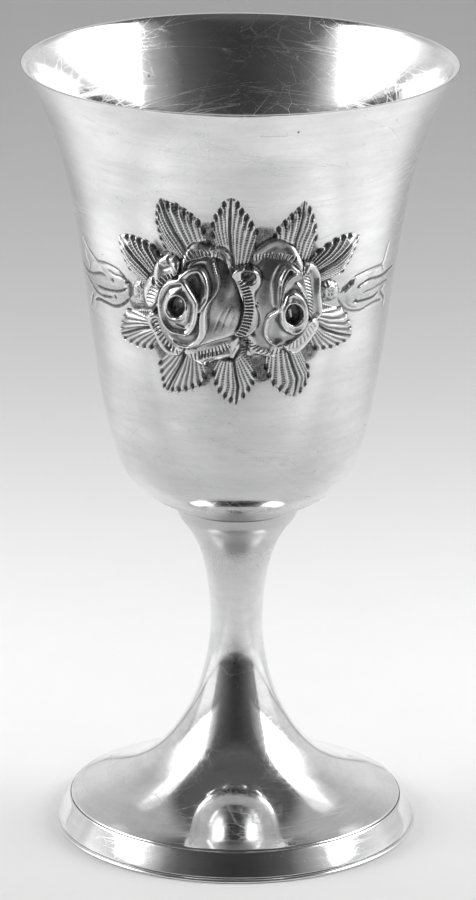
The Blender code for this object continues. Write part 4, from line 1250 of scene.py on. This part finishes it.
def soft_box(name, side, distance, y0, y1, z0, z1, level, profile, rise):
    """Large leaning lamp at one side of the table, dimmer towards its edges."""
    data = bpy.data.lights.new(name, "AREA")
    data.shape = "RECTANGLE"
    data.size, data.size_y = y1 - y0, z1 - z0
    data.energy = level * math.pi * (y1 - y0) * (z1 - z0)
    data.use_nodes = True
    tree = data.node_tree
    glow = tree.nodes["Emission"]
    where = node(tree, "ShaderNodeNewGeometry")
    parts = node(tree, "ShaderNodeSeparateXYZ")
    tree.links.new(where.outputs["Position"], parts.inputs[0])
    # the lit panel leans away towards the back as it rises
    lean = maths(tree, "MULTIPLY", maths(tree, "MAXIMUM", maths(tree, "SUBTRACT", parts.outputs["Z"], 1.2), 0.0), 1.5)
    across = maths(tree, "SUBTRACT", parts.outputs["Y"], lean)
    along = ramp(tree, maths(tree, "DIVIDE", maths(tree, "SUBTRACT", across, y0), y1 - y0),
                 [((y - y0) / (y1 - y0), v) for y, v in profile])
    up = ramp(tree, maths(tree, "DIVIDE", maths(tree, "SUBTRACT", parts.outputs["Z"], z0), z1 - z0),
              [((z - z0) / (z1 - z0), v) for z, v in rise])
    tree.links.new(maths(tree, "MULTIPLY", along, up), glow.inputs["Strength"])
    obj = bpy.data.objects.new(name, data)
    obj.location = (side * distance, (y0 + y1) / 2, (z0 + z1) / 2)
    obj.rotation_euler = Vector((side, 0, 0)).to_track_quat("Z", "Y").to_euler()
    obj.visible_camera = False
    bpy.context.scene.collection.objects.link(obj)
    return obj


make_floor()
soft_box("lamp_left", -1, 1.20, -1.50, 2.10, 0.01, 2.60, 5.0,
         [(-1.50, 0.0), (-1.20, 0.008), (-1.05, 0.02), (-0.75, 0.08), (-0.60, 0.15), (-0.50, 0.28), (-0.42, 0.95), (-0.30, 1.0), (0.35, 1.0), (0.50, 0.45), (0.59, 0.19), (0.70, 0.14), (0.85, 0.06), (1.3, 0.0)],
         [(0.01, 0.16), (0.28, 0.14), (0.40, 0.09), (0.46, 0.10), (0.55, 1.0), (1.20, 1.0), (1.40, 0.30), (1.60, 0.23), (2.10, 0.15), (2.30, 0.06), (2.60, 0.05)])
soft_box("lamp_right", 1, 1.20, -1.50, 2.10, 0.01, 2.70, 5.0,
         [(-1.50, 0.0), (-1.35, 0.008), (-1.05, 0.025), (-0.75, 0.05), (-0.60, 0.08), (-0.52, 0.12), (-0.45, 0.90), (-0.35, 1.0), (0.45, 1.0), (0.58, 0.50), (0.66, 0.25), (0.79, 0.15), (1.00, 0.06), (1.4, 0.0)],
         [(0.01, 0.16), (0.28, 0.14), (0.40, 0.09), (0.46, 0.10), (0.55, 1.0), (1.40, 1.0), (1.65, 0.40), (1.85, 0.25), (2.10, 0.16), (2.25, 0.10), (2.45, 0.10), (2.70, 0.06)])
# even light for the table alone, kept out of the silver
fill = bpy.data.lights.new("table_light", "AREA")
fill.shape = "RECTANGLE"
fill.size = fill.size_y = 5.0
fill.energy = 46.0
fill_object = bpy.data.objects.new("table_light", fill)
fill_object.location = (0, 0.2, 2.2)
fill_object.visible_glossy = False
fill_object.visible_camera = False
bpy.context.scene.collection.objects.link(fill_object)


def make_world():
    world = bpy.data.worlds.new("studio")
    world.use_nodes = True
    bpy.context.scene.world = world
    tree = world.node_tree
    back = tree.nodes["Background"]
    coords = node(tree, "ShaderNodeTexCoord")
    parts = node(tree, "ShaderNodeSeparateXYZ")
    tree.links.new(coords.outputs["Generated"], parts.inputs[0])
    # a lit backdrop behind (+Y), a dim room in front and overhead
    rear = ramp(tree, maths(tree, "ADD", maths(tree, "MULTIPLY", parts.outputs["Y"], 0.5), 0.5),
                [(0.0, 0.0), (0.55, 0.07), (0.64, 0.17), (0.69, 0.29), (0.75, 0.60), (0.84, 0.70), (1.0, 0.74)])
    wings = ramp(tree, maths(tree, "ABSOLUTE", parts.outputs["X"]),
                 [(0.0, 0.040), (0.2, 0.048), (0.4, 0.075), (0.54, 0.11), (0.68, 0.15), (0.85, 0.24), (1.0, 0.30)])
    above = ramp(tree, parts.outputs["Z"], [(0.0, 0.0), (0.62, 0.0), (0.78, 0.11), (0.88, 0.09), (1.0, 0.10)])
    rear = maths(tree, "MULTIPLY", rear, ramp(tree, parts.outputs["Z"], [(0.30, 1.0), (0.46, 0.80), (0.56, 0.72), (0.82, 0.72), (0.90, 0.12)]))
    glow = maths(tree, "MAXIMUM", maths(tree, "MAXIMUM", rear, wings), above)
    path = node(tree, "ShaderNodeLightPath")
    plain = node(tree, "ShaderNodeMix", data_type="RGBA")
    plain.inputs["B"].default_value = (0.42, 0.42, 0.42, 1.0)
    tree.links.new(path.outputs["Is Camera Ray"], plain.inputs["Factor"])
    tree.links.new(glow, plain.inputs["A"])
    tree.links.new(plain.outputs["Result"], back.inputs["Color"])
    back.inputs["Strength"].default_value = 1.0


make_world()

# --------------------------------------------------------------------- camera
camera_data = bpy.data.cameras.new("camera")
camera_data.sensor_fit = "VERTICAL"
camera_data.sensor_height = 36.0
camera_data.lens = 213.2
camera_data.shift_x = 0.00044
camera_data.clip_start, camera_data.clip_end = 0.01, 50.0
camera = bpy.data.objects.new("camera", camera_data)
camera.matrix_world = (Matrix.Translation((0.0, -1.060, 0.420))
                       @ Matrix.Rotation(math.radians(90 - 17.69), 4, "X")
                       @ Matrix.Rotation(math.radians(0.41), 4, "Z"))
bpy.context.scene.collection.objects.link(camera)
bpy.context.scene.camera = camera
bpy.context.scene.view_settings.view_transform = "Standard"
